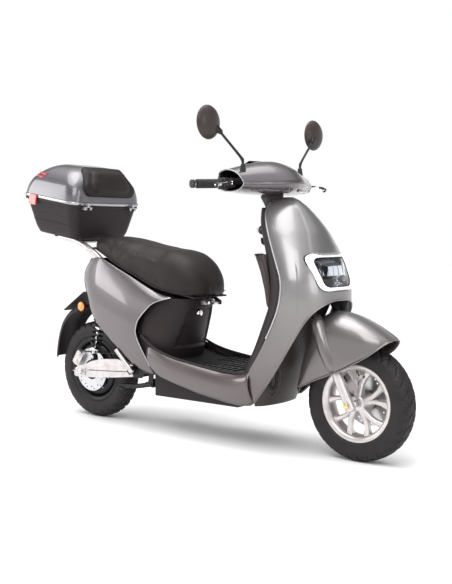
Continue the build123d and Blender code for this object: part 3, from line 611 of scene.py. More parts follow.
def headlamp():
    """Bright bezel, smoked glass, and the lamp blocks and reflector behind it."""
    lamp_ring("lamp_seal", 0.98, 1.05, 1.0, GLOSS_BLACK)
    lamp_ring("lamp_bezel", 0.83, 1.02, 6.0, LAMP_RING, "headlight_bezel")
    lamp_ring("lamp_liner", 0.79, 0.86, 1.5, GLOSS_BLACK)
    glass_face = [(share, 1.5) for share in (1.0, 0.85, 0.65, 0.4, 0.15, 0.0)]
    lamp_bowl("lamp_lens", 0.84, glass_face, LENS, "headlight_lens")
    bowl = ((1.0, 2), (0.94, 22), (0.72, 40), (0.4, 46), (0.0, 47))
    lamp_bowl("lamp_bowl", 0.83, bowl, SMOKED, "headlight_unit")
    for column in (-1, 0, 1):
        for name, half, low, high, x, depth, edge, material in (
                ("frame", 14, 648, 688, 1204, 30, 2, CHROME),
                ("block", 11.5, 651, 685, 1206, 6, 1.5, LAMP_WHITE)):
            left, right = 29 * column - half, 29 * column + half
            outline = [(left, low), (right, low), (right, high), (left, high)]
            plate(f"lamp_{name}_{column + 1}", outline, x, depth, edge, material)
    for side in (-1, 1):
        wing = [(side * 50, 650), (side * 66, 700), (side * 82, 696), (side * 68, 640)]
        plate(f"lamp_wing_{side + 1}", wing, 1188, 4, 1.5, CHROME)
    dish = [(radius, 0.028 * radius ** 2) for radius in range(30, 2, -3)]
    lathe("lamp_dish", dish, (1184, 0, 630), (1, 0, 0.1), 40, CHROME)


# ---- Inner shield and lower fairing ----
def bowed(sections, z, turn, proud=0.0):
    """Point round a bowed sheet of (z, x of its edges, half width, x of its middle) sections."""
    edge, half, tip = softened(sections, z)
    return (edge + (tip - edge + proud) * cos(turn), half * sin(turn), z)


def bowed_rows(sections, heights, turns, proud=0.0):
    """Rows of points over a bowed sheet."""
    return [[bowed(sections, z, turn, proud) for turn in turns] for z in heights]


# (z, x of the edges, half width, x of the middle)
INNER = [(296, 950, 166, 872), (383, 1006, 170, 918), (477, 1050, 171, 956), (544, 1082, 173, 982),
         (606, 1098, 176, 985), (674, 1078, 165, 975), (737, 1044, 150, 958), (815, 1000, 126, 930),
         (862, 974, 102, 916), (900, 962, 74, 908)]
POCKET_Y = 98


def inner_shield():
    """Black shield before the knees, with two pockets, the key's lock and a bag hook."""
    rows = bowed_rows(INNER, spaced(296, 896, 48), half_turn(56))
    sheet("inner_shield", rows, -3, BLACK, "chassis", "inner_shield")
    for side in (-1, 1):
        pocket = []
        for z, reach in ((536, 4), (548, 18), (600, 34), (665, 44), (726, 52)):
            row = []
            for turn in half_turn(24):
                y = side * (POCKET_Y + 50 * sin(turn))
                base = bowed(INNER, z, side * radians(36))[0] + (abs(y) - POCKET_Y) * 0.5
                row.append((base - reach * max(cos(turn), 0.0) ** 0.45, y, z))
            pocket.append(row)
        sheet(f"pocket_{side + 1}", pocket, 3, SHROUD)
        tube(f"pocket_rim_{side + 1}", pocket[-1][2:-2], 2.4, BLACK)
    boss = [(0, 18), (13, 18), (16, 15), (18, 8), (20, -20)]
    collar = [(9.5, 19.5), (12, 19.5), (12.6, 18), (12.6, 14)]
    lathe("lock_boss", boss, (926, -45, 815), (-1, 0, 0), 40, GLOSS_BLACK)
    lathe("lock_collar", collar, (926, -45, 815), (-1, 0, 0), 40, CHROME)
    hook = [(952, -32, 768), (926, -32, 762), (910, -32, 764), (905, -32, 776), (907, -32, 786)]
    tube("bag_hook", hook, 5, GLOSS_BLACK)


# (z, x of the edges, half width, x of the middle)
FAIRING = [
    (168, 945, 128, 985), (240, 956, 140, 1022), (330, 976, 148, 1050), (440, 1004, 150, 1058),
    (520, 1030, 140, 1058), (588, 1036, 122, 1046)]


def lower_fairing():
    """Black fairing behind the front wheel, with an oval vent on each side."""
    rows = bowed_rows(FAIRING, range(168, 589, 10), half_turn(40))
    sheet("lower_fairing", rows, 3, SHROUD, "chassis", "lower_fairing")
    for side in (-1, 1):
        for name, scale, radius, material in (("lip", 1.0, 4.0, SHROUD), ("slot", 0.55, 6.0, GLOSS_BLACK)):
            loop = []
            for turn in full_turn(24):
                z = 268 + scale * 62 * sin(turn)
                y = 100 + scale * (24 * cos(turn) + 12 * sin(turn))
                edge, half, tip = softened(FAIRING, z)
                loop.append((edge + (tip - edge) * sqrt(1 - (y / half) ** 2) + 1, side * y, z))
            tube(f"fairing_{name}_{side + 1}", loop, radius, material, cyclic=True)


# ---- Side panels ----
# (x, y and z of the top edge, y and z half way down, y and z of the bottom edge)
SKIRT = [
    (436, 158, 353, 166, 322, 159, 288), (478, 162, 345, 172, 300, 158, 246),
    (560, 162, 318, 179, 272, 150, 220), (690, 162, 301, 183, 250, 144, 190),
    (820, 163, 285, 185, 232, 142, 172), (905, 166, 283, 186, 232, 145, 166),
    (960, 172, 300, 188, 250, 150, 184)]
PANEL = [
    (8, 88, 646, 98, 612, 90, 586), (60, 106, 692, 128, 600, 120, 482),
    (120, 116, 704, 145, 590, 138, 424), (220, 125, 664, 158, 540, 146, 355),
    (320, 131, 626, 169, 500, 154, 290), (400, 134, 592, 174, 480, 160, 256),
    (476, 134, 562, 178, 470, 160, 243), (545, 132, 551, 178, 465, 160, 243)]
# (z, x) of the side panel's front edge, from the sill up
PANEL_FRONT = [
    (243, 470), (300, 436), (372, 391), (406, 377), (453, 391), (491, 428), (523, 462), (537, 490),
    (550, 540), (560, 552)]


def bulge(table, x, share, side):
    """Point on a bulging side panel, share 0 at its top and 1 at its bottom."""
    y0, z0, y1, z1, y2, z2 = softened(table, x)
    a, b, c = 2 * (share - 0.5) * (share - 1), 4 * share * (1 - share), 2 * share * (share - 0.5)
    return (x, side * (a * y0 + b * y1 + c * y2), a * z0 + b * z1 + c * z2)


def side_skirts():
    """Grey panels beside the footboard, and the black edge above each."""
    seam = [
        (404, 395), (440, 370), (473, 349), (561, 321), (691, 303), (817, 290), (902, 288), (945, 300),
        (970, 322), (1011, 386), (1050, 455)]
    for side, name in ((-1, "right"), (1, "left")):
        rows = [[bulge(SKIRT, x, i / 24, side) for i in range(25)] for x in spaced(436, 960, 44)]
        sheet(f"side_skirt_{name}", rows, 3 * side, GUNMETAL, "chassis", "side_skirts")
        line = [(x, side * (164 + 12 * ramped(x - 900, 120)), z) for x, z in seam]
        tube(f"floor_edge_{side + 1}", line, 5, BLACK)


def front_edge(share):
    """Furthest x of a side panel at that share down its height."""
    low, high = 300.0, 552.0
    for _ in range(24):
        x = (low + high) / 2
        if lookup(PANEL_FRONT, bulge(PANEL, x, share, 1)[2])[0] > x:
            low = x
        else:
            high = x
    return low


def rear_panels():
    """Grey panels under the seat with bright trim on their front edge."""
    for side, name in ((-1, "right"), (1, "left")):
        rows = []
        for i in range(41):
            share = i / 40
            rows.append([bulge(PANEL, x, share, side) for x in spaced(8, front_edge(share), 60)])
        sheet(f"rear_panel_{name}", rows, -3 * side, GUNMETAL, "chassis", "rear_panels")
        edge = [(row[-1][0] + 1, row[-1][1], row[-1][2]) for row in rows[2:39:2]]
        tube(f"panel_trim_{side + 1}", edge, 2.6, TRIM)


# (z, x of the edges, half width, x of the middle)
TAIL = [(540, 26, 81, -36), (590, 22, 85, -52), (640, 30, 87, -46), (690, 52, 85, 4)]


def tail_section():
    """Tail cover with its beak, tail lamp and side reflectors."""
    beak = [(-168, 462), (-110, 500), (-42, 545), (10, 552), (10, 547), (-40, 540), (-108, 495), (-164, 457)]
    prism("tail_beak", beak, (-62, 62), 1.5, BLACK, "chassis", "tail_cover")
    sheet("tail_cover", bowed_rows(TAIL, spaced(540, 690, 24), half_turn(40)), -3, BLACK)
    lens = bowed_rows(TAIL, spaced(592, 636, 8), half_turn(24, 46), -2.5)
    sheet("tail_lens", lens, -3, RED, "chassis", "rear_lamps")
    amber = [(0, 12), (16, 11.5), (19.5, 9.5), (20.5, 6)]
    ring = [(20, 9), (21, 11), (23, 10), (23.5, 0), (0, 0)]
    for side in (-1, 1):
        place = (-16, side * 90, 485)
        lathe(f"side_reflector_{side + 1}", amber, place, (0, side, 0), 48, AMBER)
        lathe(f"reflector_ring_{side + 1}", ring, place, (0, side, 0), 48, BLACK)


def rear_mudguard():
    """Mudguard with turned-down edges, its stays and the plate's bolts."""
    line = [(-232, 250), (-222, 310), (-206, 365), (-180, 415), (-134, 458), (-60, 494), (10, 508)]
    half, lip = 66, 26
    rows = []
    for step in range(41):
        x, z = smooth(line, step / 40)
        ahead, behind = smooth(line, step / 40 + 0.01), smooth(line, step / 40 - 0.01)
        run = Vector((ahead[0] - behind[0], ahead[1] - behind[1])).normalized()
        row = []
        for y in spaced(-half, half, 24):
            drop = lip * max(abs(y) / half - 0.8, 0) / 0.2
            row.append((x + run.y * drop, y, z - run.x * drop))
        rows.append(row)
    sheet("rear_mudguard", rows, 3, BLACK, "chassis", "rear_mudguard")
    head = [(0, 3), (4, 3), (5, 2), (5, 0)]
    for side in (-1, 1):
        box(f"mudguard_stay_{side + 1}", (-30, -4), sorted((side * 62, side * 90)), (477, 493), 2, BLACK)
        for z, share in ((300, 0.14), (372, 0.36)):
            place = (smooth(line, share)[0] - 1, side * 34, z)
            lathe(f"plate_bolt_{side + 1}_{z}", head, place, (-1, 0, 0.3), 20, STEEL)


# ---- Floor and seat post ----
def floor():
    """Footboard with its grip bars and side ribs."""
    deck = [
        (470, 318), (545, 296), (600, 289), (868, 289), (905, 292), (905, 280), (600, 279), (540, 283),
        (470, 307)]
    prism("floor_deck", deck, (-160, 160), 3, FLOOR, "chassis", "floorboard")
    for row in range(8):
        x = 612 + 32 * row
        for index, y in enumerate((-104, 0, 104)):
            box(f"grip_bar_{row}_{index}", (x, x + 14), (y - 40, y + 40), (286, 293.5), 1.8, FLOOR)
    for side in (-1, 1):
        rib = [(600, side * 152, 291), (700, side * 152, 291.5), (868, side * 152, 291.5)]
        tube(f"floor_rib_{side + 1}", rib, 3, FLOOR)


# (z, x of the edges, half width, x of the middle)
POST = [
    (296, 382, 156, 528), (340, 380, 156, 545), (400, 382, 156, 566), (480, 400, 150, 592),
    (545, 436, 138, 603)]


def post_point(z, turn, sink=0.0):
    """Point round the cover under the seat, sunk in by sink."""
    edge, half, tip = softened(POST, z)
    return (edge + (tip - edge - sink) * max(cos(turn), 0.0) ** 0.8, half * sin(turn), z)


def seat_post():
    """Black cover under the seat's nose, with its recess, lock and hinge bar."""
    rows = []
    for z in spaced(296, 545, 48):
        row = []
        for turn in half_turn(60):
            y = post_point(z, turn)[1]
            in_recess = 352 < z < 505 and abs(y) < 92 - 0.18 * (z - 352)
            row.append(post_point(z, turn, 9 if in_recess else 0))
        rows.append(row)
    sheet("seat_post_cover", rows, 3, BLACK, "chassis", "seat_post_cover")
    barrel = [(0, 16), (9, 16), (12, 14), (13.5, 11), (13.5, 0)]
    lathe("seat_lock", barrel, (582, -22, 486), (1, 0, 0.1), 36, CHROME)
    box("hinge_bracket", (596, 641), (-24, 24), (519, 536), 2, STEEL)
    knuckle = [(0, -40), (6.5, -40), (6.5, 40), (0, 40)]
    lathe("hinge_pin", knuckle, (648, 0, 528), (0, 1, 0), 28, STEEL)


# ---- Seat and backrest: stuffed forms ----
# (x, half width, underside z, top z, edge fullness)
SEAT = [
    (52, 76, 728, 776, 0.5), (75, 102, 722, 786, 0.5), (130, 115, 702, 787, 0.5),
    (200, 121, 668, 780, 0.5), (270, 127, 640, 768, 0.5), (340, 130, 614, 754, 0.52),
    (390, 132, 594, 747, 0.52), (440, 133, 574, 739, 0.54), (490, 134, 563, 735, 0.54),
    (540, 130, 556, 724, 0.54), (585, 120, 552, 698, 0.54), (620, 102, 552, 664, 0.56),
    (645, 78, 556, 628, 0.58), (659, 44, 570, 606, 0.58)]


def apply_modifiers(obj):
    """Replaces the object's mesh by what its modifiers make of it."""
    graph = bpy.context.evaluated_depsgraph_get()
    mesh = bpy.data.meshes.new_from_object(obj.evaluated_get(graph))
    obj.modifiers.clear()
    obj.data = mesh


VOXEL = 0.006


def stuffed(obj, steps, pressure, cap):
    """Swells a closed form with cloth pressure, each point held within cap millimetres."""
    bpy.context.view_layer.update()
    mesher = obj.modifiers.new("Remesh", "REMESH")
    mesher.mode = "VOXEL"
    mesher.voxel_size = VOXEL
    apply_modifiers(obj)
    rest = [vertex.co.copy() for vertex in obj.data.vertices]
    cloth = obj.modifiers.new("Stuffing", "CLOTH")
    cloth.settings.use_pressure = True
    cloth.settings.uniform_pressure_force = pressure
    cloth.settings.effector_weights.gravity = 0
    scene = bpy.context.scene
    for number in range(1, steps + 1):
        scene.frame_set(number)
    apply_modifiers(obj)
    scene.frame_set(1)
    for vertex, start in zip(obj.data.vertices, rest):
        move = vertex.co - start
        vertex.co = start + move * min(1.0, cap / 1000 / max(move.length, 1e-9))
    for polygon in obj.data.polygons:
        polygon.use_smooth = True
    return subdivided(obj)


def seat_ring(x):
    """Closed cross section of the seat before stuffing, flat under and crowned on top."""
    slack, side_height = 4, 14
    half, under, top, full = softened(SEAT, x)
    half, top, waist = half - slack, top - slack, under + side_height
    row = []
    for turn in full_turn(48):
        y = half * (abs(sin(turn)) ** full) * (1 if sin(turn) > 0 else -1)
        rise = cos(turn)
        if rise > 0:
            z = waist + (top - under - side_height) * rise ** 0.62
        else:
            z = waist - side_height * abs(rise) ** 0.4
        row.append((x, y, z))
    return row


def seat():
    """Stuffed seat cushion with a welt along each side."""
    rows = [seat_ring(x) for x in spaced(54, 658, 60)]
    body = stuffed(grid("seat_cushion", rows, wrap=True, caps=True), 16, 3.5, 4)
    dressed(body, VINYL, "seat", "seat_cushion")
    for side in (-1, 1):
        welt = []
        for x in spaced(62, 648, 33):
            half, under = softened(SEAT, x)[:2]
            welt.append((x, side * (half - 2.0), under + 15))
        tube(f"seat_welt_{side + 1}", welt, 1.8, VINYL, "seat")


# ---- Top case, given level about its hinge line ----
# (z, x of the middle, length, width, corner)
TUB = [
    (-140, -163, 240, 298, 40), (-134, -163, 250, 308, 46), (-110, -165, 272, 330, 50),
    (-60, -171, 297, 357, 54), (-10, -178, 322, 383, 58), (6, -180, 330, 392, 60)]
LID = [
    (20, -180, 338, 402, 60), (50, -180, 332, 396, 64), (84, -178, 312, 378, 70),
    (112, -174, 278, 346, 76), (136, -169, 232, 304, 80), (152, -165, 184, 258, 76),
    (161, -163, 130, 200, 58), (164, -163, 74, 130, 34)]
CORNER_POWER = 2.6


def case_outline(middle_x, length, width, corner):
    """Rounded rectangle of 96 points."""
    row = []
    for quarter, (sx, sy) in enumerate(((1, 1), (-1, 1), (-1, -1), (1, -1))):
        for i in range(24):
            turn = radians(90 * quarter + 90 * i / 23)
            c, s = cos(turn), sin(turn)
            x = corner * abs(c) ** (2 / CORNER_POWER) * (1 if c > 0 else -1)
            y = corner * abs(s) ** (2 / CORNER_POWER) * (1 if s > 0 else -1)
            row.append((middle_x + (sx * (length / 2 - corner) + x), sy * (width / 2 - corner) + y))
    return row


def case_row(z, *shape):
    return [case_point(x, y, z) for x, y in case_outline(*shape)]


def case_shell(name, table, steps, material, body, node):
    rows = [case_row(*smooth(table, step / steps)) for step in range(steps + 1)]
    sheet(name, rows, 3, material, body, node, wrap=True)


def case_end(name, z, length, width, corner, material, body):
    """Flat end that closes the tub or the lid."""
    rows = [case_row(z, -163, length * s, width * s, corner * s) for s in (1, 0.5, 0.01)]
    sheet(name, rows, 0, material, body, wrap=True)


def case_ring(name, z0, z1, proud, material, body):
    """Moulded band round the case."""
    section = (
        (z0, -6), (z0, proud - 1), (z0 + 1.2, proud), (z1 - 1.2, proud), (z1, proud - 1), (z1, -6))
    rows = [case_row(z, -180, 334 + 2 * out, 396 + 2 * out, 61) for z, out in section]
    sheet(name, rows, 0, material, body, wrap=True)


def case_box(name, x, y, z, edge, material, body="chassis", *nodes):
    """Box of the top case, level about its hinge line."""
    points = [at(*case_point(a, b, c)) for c in z for b in sorted(y) for a in x]
    faces = [(0, 1, 3, 2), (4, 6, 7, 5), (0, 4, 5, 1), (2, 3, 7, 6), (0, 2, 6, 4), (1, 5, 7, 3)]
    return dressed(rounded(mesh_object(name, points, faces), edge), material, body, *nodes)


def top_case():
    """Black tub and grey lid with their bands, lenses, latches and hinges."""
    case_shell("case_tub", TUB, 24, BLACK, "chassis", "case_tub")
    case_end("case_floor", -139.5, 240, 298, 40, BLACK, "chassis")
    for number, z in enumerate((-84, -52)):
        share = (z + 140) / 146
        ring = case_row(z, -164 - 14 * share, 262 + share * 62, 322 + share * 64, 54)
        tube(f"tub_rib_{number}", ring[::2], 1.3, BLACK, cyclic=True)
    case_shell("case_lid", LID, 40, LID_GREY, "case_lid", "case_lid")
    case_end("lid_crown", 164, 74, 130, 34, LID_GREY, "case_lid")
    case_ring("tub_band", -2, 8.6, 3, BLACK, "chassis")
    case_ring("lid_band", 9.4, 21, 5, TRIM, "case_lid")
    corner = ((-327, 80), (-324, 123), (-309, 157), (-282, 177), (-238, 183))
    for side, latch in ((-1, "right_case_latch"), (1, "left_case_latch")):
        case_box(f"case_clip_{side + 1}", (-286, -242), (side * 204, side * 211), (-22, 22), 2,
                 RED, latch, latch)
        for level, inset in ((100, 0), (114, 9)):
            lens = [case_point(x + inset, side * (y - inset), level) for x, y in corner]
            tube(f"lid_lens_{side + 1}_{level}", lens, 4.5, RED, "case_lid")
        for low in (112, 140):
            span = (side * low, side * (low + 12))
            case_box(f"hinge_leaf_{side + 1}_{low}", (-20, 7), span, (-8, 6), 2, TRIM)
        case_box(f"hinge_lug_{side + 1}", (-13, 7), (side * 125, side * 139), (1, 22), 2, TRIM, "case_lid")


PAD = [(-128, 44), (128, 44), (152, 78), (112, 160), (-112, 160), (-152, 78)]
PAD_SILL, PAD_MIDDLE = 44, 102


def lid_front(y, z):
    """x of the lid's front face at y and z, level about the hinge line."""
    middle_x, length, width, corner = lookup(LID, z)
    reach = max(abs(y) - (width / 2 - corner), 0.0) / corner
    bend = max(1 - reach ** CORNER_POWER, 0.0) ** (1 / CORNER_POWER)
    return middle_x + length / 2 - corner + corner * bend


def pad_point(y, z, rise):
    """Point of the backrest, raised off the lid's front or off the sloping plane before it."""
    slope = -20 - 0.6 * (z - PAD_SILL)
    return case_point(max(lid_front(y, z), slope) + rise, y, z + 0.5 * rise)


def pad_ring(size, rise):
    """Closed row of the backrest: the pad's outline scaled to size, raised by rise."""
    outline = rounded_outline(PAD, 18, 8)
    return [pad_point(y * size, PAD_MIDDLE + (z - PAD_MIDDLE) * size, rise) for y, z in outline]


def backrest():
    """Padded rest on the lid's front: a flat border round a raised cushion."""
    profile = (
        (0.01, -5), (0.5, -5), (1.0, -5), (1.0, 5), (0.97, 9), (0.90, 11), (0.80, 11), (0.77, 8), (0.74, 12),
        (0.70, 18), (0.58, 22), (0.3, 24), (0.01, 24))
    rows = [pad_ring(size, rise) for size, rise in profile]
    body = stuffed(grid("backrest_pad", rows, wrap=True), 12, 2.5, 2.5)
    dressed(body, VINYL, "case_lid", "backrest_pad")
    tube("backrest_seam", pad_ring(0.99, 8)[::3], 2.2, VINYL, "case_lid", cyclic=True)


def carrier():
    """Silver grab rails and the rack under the case."""
    rail = [
        (186, 96, 628), (150, 98, 656), (90, 99, 704), (24, 98, 742), (-30, 93, 764), (-90, 86, 775),
        (-158, 84, 786)]
    for side in (-1, 1):
        line = [(x, side * y, z) for x, y, z in rail]
        tube(f"grab_rail_{side + 1}", line, 13, WHEEL, "chassis", "grab_rail")
    tube("rail_bridge", [(-40, -88, 764), (-44, 0, 764), (-40, 88, 764)], 8, WHEEL)
    case_box("case_rack", (-255, -60), (-95, 95), (-151, -141), 3, BLACK)
    for x in (-230, -158, -86):
        case_box(f"rack_rib_{-x}", (x - 6, x + 6), (-92, 92), (-156, -150), 2, BLACK)


# ---- Handlebar, cover, mirrors ----
# (y, x and z of the middle, half length, half height)
COVER = [
    (-214, 902, 994, 58, 38), (-185, 910, 996, 64, 43), (-150, 918, 998, 73, 49),
    (-100, 930, 1002, 88, 56), (-50, 940, 1006, 103, 61), (0, 944, 1008, 110, 63),
    (50, 940, 1006, 103, 61), (100, 930, 1002, 88, 56), (150, 918, 998, 73, 49),
    (185, 910, 996, 64, 43), (214, 902, 994, 58, 38)]
# (share of the half length, share of the half height) once round the cover's section
COVER_RIM = [
    (-1.0, 0.36), (-0.90, 0.78), (-0.46, 1.0), (0.05, 0.92), (0.56, 0.52), (0.93, -0.10),
    (1.0, -0.34), (0.99, -0.38), (0.80, -0.74), (0.34, -1.0), (-0.3, -1.02), (-0.86, -0.88), (-1.0, -0.36)]
RIM_STEPS = len(COVER_RIM)


def cover_point(y, turn, inset=0.0):
    """Point round the cover's section at y; turn runs once round from 0 to 1."""
    x, z, wide, tall = softened(COVER, y)
    u, v = smooth(COVER_RIM + COVER_RIM[:1], turn)
    return (x + u * (wide - inset), y, z + v * (tall - inset))


def handlebar_cover():
    """Visor-shaped cover, open at both ends round the handlebar."""
    rows = [[cover_point(y, i / 72) for i in range(72)] for y in range(-214, 213, 6)]
    sheet("handlebar_cover", rows, 3, GUNMETAL, "steering", "handlebar_cover", wrap=True)
    liner = [[cover_point(y, i / 48, 4.5) for i in range(48)] for y in range(-208, 207, 6)]
    sheet("cover_liner", liner, 0, BLACK, "steering", wrap=True)
    for side in (-1, 1):
        rim = [cover_point(side * 213, i / 36) for i in range(36)]
        tube(f"cover_rim_{side + 1}", rim, 2.0, TRIM, "steering", cyclic=True)
    neck = []
    for t, radius in ((772, 38), (790, 38), (812, 39), (842, 42)):
        neck.append([steer(t, radius * cos(turn), radius * sin(turn)) for turn in full_turn(48)])
    sheet("neck_shroud", neck, 3, SHROUD, "steering", wrap=True)
    screw = [(0, 2.4), (3.4, 2.2), (4.4, 1.2), (4.6, 0)]
    ahead, aside = cos(radians(60)), sin(radians(60))
    for side in (-1, 1):
        place = steer(800, 38.5 * ahead, side * 38.5 * aside)
        lathe(f"neck_screw_{side + 1}", screw, place, (ahead, side * aside, 0.3), 20, STEEL, "steering")
        for name, start, pitch, rim_step, radius, material in (
                ("lamp_strip", 30, 12, 8.0, 6.5, CLEAR), ("cover_edge", 14, 15, 6.5, 2.0, GUNMETAL)):
            line = [cover_point(side * (start + pitch * i), rim_step / RIM_STEPS) for i in range(13)]
            tube(f"{name}_{side + 1}", line, radius, material, "steering")
    dash_screen()


def dash_screen():
    """Flat screen over the rider's side of the cover's top."""
    x, z, wide, tall = softened(COVER, 0)
    (x0, z0), (x1, z1) = ((x + u * wide, z + v * tall) for u, v in ((-0.62, 0.99), (-0.95, 0.72)))
    rows = []
    for share in spaced(0, 1, 4):
        a, c = x0 + share * (x1 - x0), z0 + share * (z1 - z0)
        rows.append([(a - 2.5, y, c + 3 - abs(y) * 0.02) for y in range(-70, 71, 10)])
    sheet("dash_screen", rows, 2, SCREEN, "steering")


def grips():
    """Ribbed grips with their bar ends, switch housings and push buttons."""
    ribbed = [(11.3, 0), (20.5, 0), (21, 1), (21, 4), (19.5, 5.5), (15.4, 6.5)]
    for ring in range(22):
        along = 9 + 4.1 * ring
        ribbed += [(15.1, along), (16.4, along + 0.8), (16.4, along + 2.2), (15.1, along + 3.0)]
    ribbed += [(15.8, 100), (15, 102), (11.3, 102)]
    cap = [(0, 12), (9, 12), (13.5, 10), (15, 6), (15, 1), (14, 0), (0, 0)]
    housing = [(11.3, 0), (19, 0), (21.5, 2), (22, 12), (21.5, 23), (20, 25), (11.3, 25)]
    push = [(0, 7.5), (4, 7.5), (5, 6.6), (5, 0)]
    for side, grip, rides, button, material in (
            (-1, "throttle_grip", "throttle", "start_button", RED),
            (1, "left_grip", "steering", "horn_button", GLOSS_BLACK)):
        start, end = Vector(bar_point(side * 242)), Vector(bar_point(side * 344))
        run = end - start
        lathe(f"grip_{side + 1}", ribbed, start, run, 48, GRIP, rides, grip)
        lathe(f"bar_end_{side + 1}", cap, bar_point(side * 346), run, 40, TRIM, "steering")
        lathe(f"switch_housing_{side + 1}", housing, bar_point(side * 215), run, 40, BLACK, "steering")
        place = (bar_point(227)[0] - 19, side * 227, 982)
        lathe(f"push_{button}", push, place, (-1, 0, 0), 28, material, button, button)


def levers():
    """Brake levers, thinning along their length and thicker again at the end."""
    x, y, z = bar_point(227)[0] + 34, 227, 984
    line = [
        (x + 2, y + 6, z), (x + 8, y + 26, z), (x + 26, y + 50, z - 2), (x + 42, y + 74, z - 6),
        (940, 322, 974), (940, 338, 972)]
    knob = [(0, -9), (5, -8), (8.5, -4), (9, 0), (8.5, 4), (5, 8), (0, 9)]
    for side, name in ((-1, "right_lever"), (1, "left_lever")):
        rows = []
        for share in spaced(0, 1, 40):
            px, py, pz = smooth(line, share)
            at_end = share > 0.96
            fat = 7.5 - 3.0 * share + (4.2 if at_end else 0)
            tall = 4.4 + (4.0 if at_end else 0)
            rows.append([(px + fat * cos(turn), side * py, pz + tall * sin(turn)) for turn in full_turn(20)])
        sheet(f"brake_{name}", rows, 0, GLOSS_BLACK, name, wrap=True, caps=True)
        tip_x, tip_y, tip_z = line[-1]
        lathe(f"ball_{name}", knob, (tip_x, side * tip_y, tip_z), (0, 1, 0), 32, GLOSS_BLACK, name)


def mirrors():
    """Round mirrors on bent stems, each turning on a ball inside a boot."""
    dome = [
        (0, 27), (20, 25.5), (36, 21), (48, 14.5), (56, 7.5), (59.5, 2), (60, -0.5), (59, -2.5),
        (56.5, -3)]
    face = [(56.6, -3), (56.2, -1.6), (30, -1.6), (0, -1.6)]
    boot = [(0, -13), (6, -12), (9.5, -6), (10, 0), (11, 10), (12.5, 20), (11, 26), (0, 30)]
    sleeve = [(4.6, 0), (11, 0), (11.5, 3), (10.5, 12), (9, 20), (8.5, 27), (6, 31), (4.6, 31)]
    stem = [(930, 179, 1002), (930, 179, 1040), (930, 180, 1066), (924, 212, 1096), (916, 270, 1144)]
    for side, body in ((-1, "right_mirror"), (1, "left_mirror")):
        x, y, z = MIRROR_BALL[0], side * MIRROR_BALL[1], MIRROR_BALL[2]
        centre = (x - 21, side * (MIRROR_BALL[1] + 37), z + 29)
        lathe(f"{body}_shell", dome, centre, (1, 0, 0), 72, MIRROR_SHELL, body, body)
        lathe(f"{body}_glass", face, centre, (1, 0, 0), 72, MIRROR, body)
        reach = Vector((x - 8, side * (MIRROR_BALL[1] + 22), z + 18)) - Vector((x, y, z))
        lathe(f"{body}_boot", boot, (x, y, z), reach, 36, GLOSS_BLACK, body)
        line = [(a, side * b, c) for a, b, c in stem] + [(x, y, z)]
        tube(f"{body}_stem", line, 4.6, BLACK_STEEL, "steering")
        lathe(f"{body}_sleeve", sleeve, (930, side * 179, 1022), (0, 0, 1), 24, GRIP, "steering")


# ---- Wheels ----
def tread_depth(turn, y):
    """Groove depth in millimetres of the tread at that turn and y."""
    def groove(phase, half_width):
        off = abs((phase + 0.5) % 1.0 - 0.5)
        return min(max((half_width - off) / (half_width * 0.45), 0.0), 1.0)

    lean = abs(y)
    pitch = turn * 30 / (2 * pi)
    wide = groove(pitch + 0.030 * lean + (0.5 if y > 0 else 0.0), 0.15) if 5 < lean < 43 else 0.0
    fine = groove(2 * pitch - 0.045 * lean, 0.14) if 19 < lean < 38 else 0.0
    centre = groove((lean - 5.5) / 40, 0.045)
    return 6.0 * max(wide, 0.6 * fine, 0.6 * centre)


def tyre(name, axle_x, body):
    """Tyre with grooves cut into its tread and raised rings on its sidewall."""
    tread_edge = 184
    wall = [
        (127, 30), (136, 31.5), (139, 36), (146, 40.5), (148, 42.2), (150, 42), (160, 44), (174, 45),
        (178, 44.2), (185, 43)]
    crown = [
        (192.5, 39.5), (197, 36), (200, 33), (202.5, 29.5), (204.5, 26), (206, 22.5), (207, 19),
        (207.6, 15), (207.9, 11), (208, 8), (208, 5.5), (208, 3), (208, 0)]
    half = wall + crown
    profile = half + [(radius, -y) for radius, y in half[-2::-1]]
    rows = []
    for turn in full_turn(540):
        row = []
        for radius, y in profile:
            radius -= tread_depth(turn, y) if radius > tread_edge else 0
            row.append((axle_x + radius * cos(turn), y, TYRE_RADIUS + radius * sin(turn)))
        rows.append(row)
    sheet(name, rows + rows[:1], 0, TYRE, body, name)


def wheel_point(axle_x, radius, turn, y):
    return (axle_x + radius * cos(turn), y, TYRE_RADIUS + radius * sin(turn))


def wheel_part(name, profile, axle_x, segments, material, body, *nodes):
    """Part turned about a wheel's axle: (radius, y) profile."""
    lathe(name, profile, (axle_x, 0, TYRE_RADIUS), (0, 1, 0), segments, material, body, *nodes)


RIM = [
    (127, 29), (135, 30.5), (139, 33), (139.5, 35.5), (137, 36.6), (130, 35.5), (123, 33), (118, 24),
    (115, 12)]
RIM += [(radius, -y) for radius, y in RIM[::-1]]
# (radius, half width, y of the outer face, y of the inner edge, degrees off the pair's middle)
SPOKE = [
    (24, 11, -27, 10, 7), (40, 10, -25, 4, 7), (68, 9, -22, -2, 9), (94, 9, -21, -2, 14),
    (119, 13, -22, 6, 19)]
SPOKE_BEVEL = 4
SPOKE_PAIRS = 5


def spoke(index, lean):
    """One of a pair of spokes, spreading apart towards the rim."""
    rows = []
    for radius, half, front, back, spread in SPOKE:
        turn = radians(90 + 360 // SPOKE_PAIRS * index + lean * spread)
        across_x, across_z = -sin(turn), cos(turn)
        x, z = WHEELBASE + radius * cos(turn), TYRE_RADIUS + radius * sin(turn)
        section = (
            (-1, back), (-1, front + SPOKE_BEVEL), (-0.55, front), (0.55, front),
            (1, front + SPOKE_BEVEL), (1, back))
        rows.append([(x + share * half * across_x, y, z + share * half * across_z) for share, y in section])
    piece = sheet(f"spoke_{index}_{lean + 1}", rows, 0, WHEEL, "front_wheel", wrap=True, caps=True)
    rounded(piece, 1.2, 2, 25)


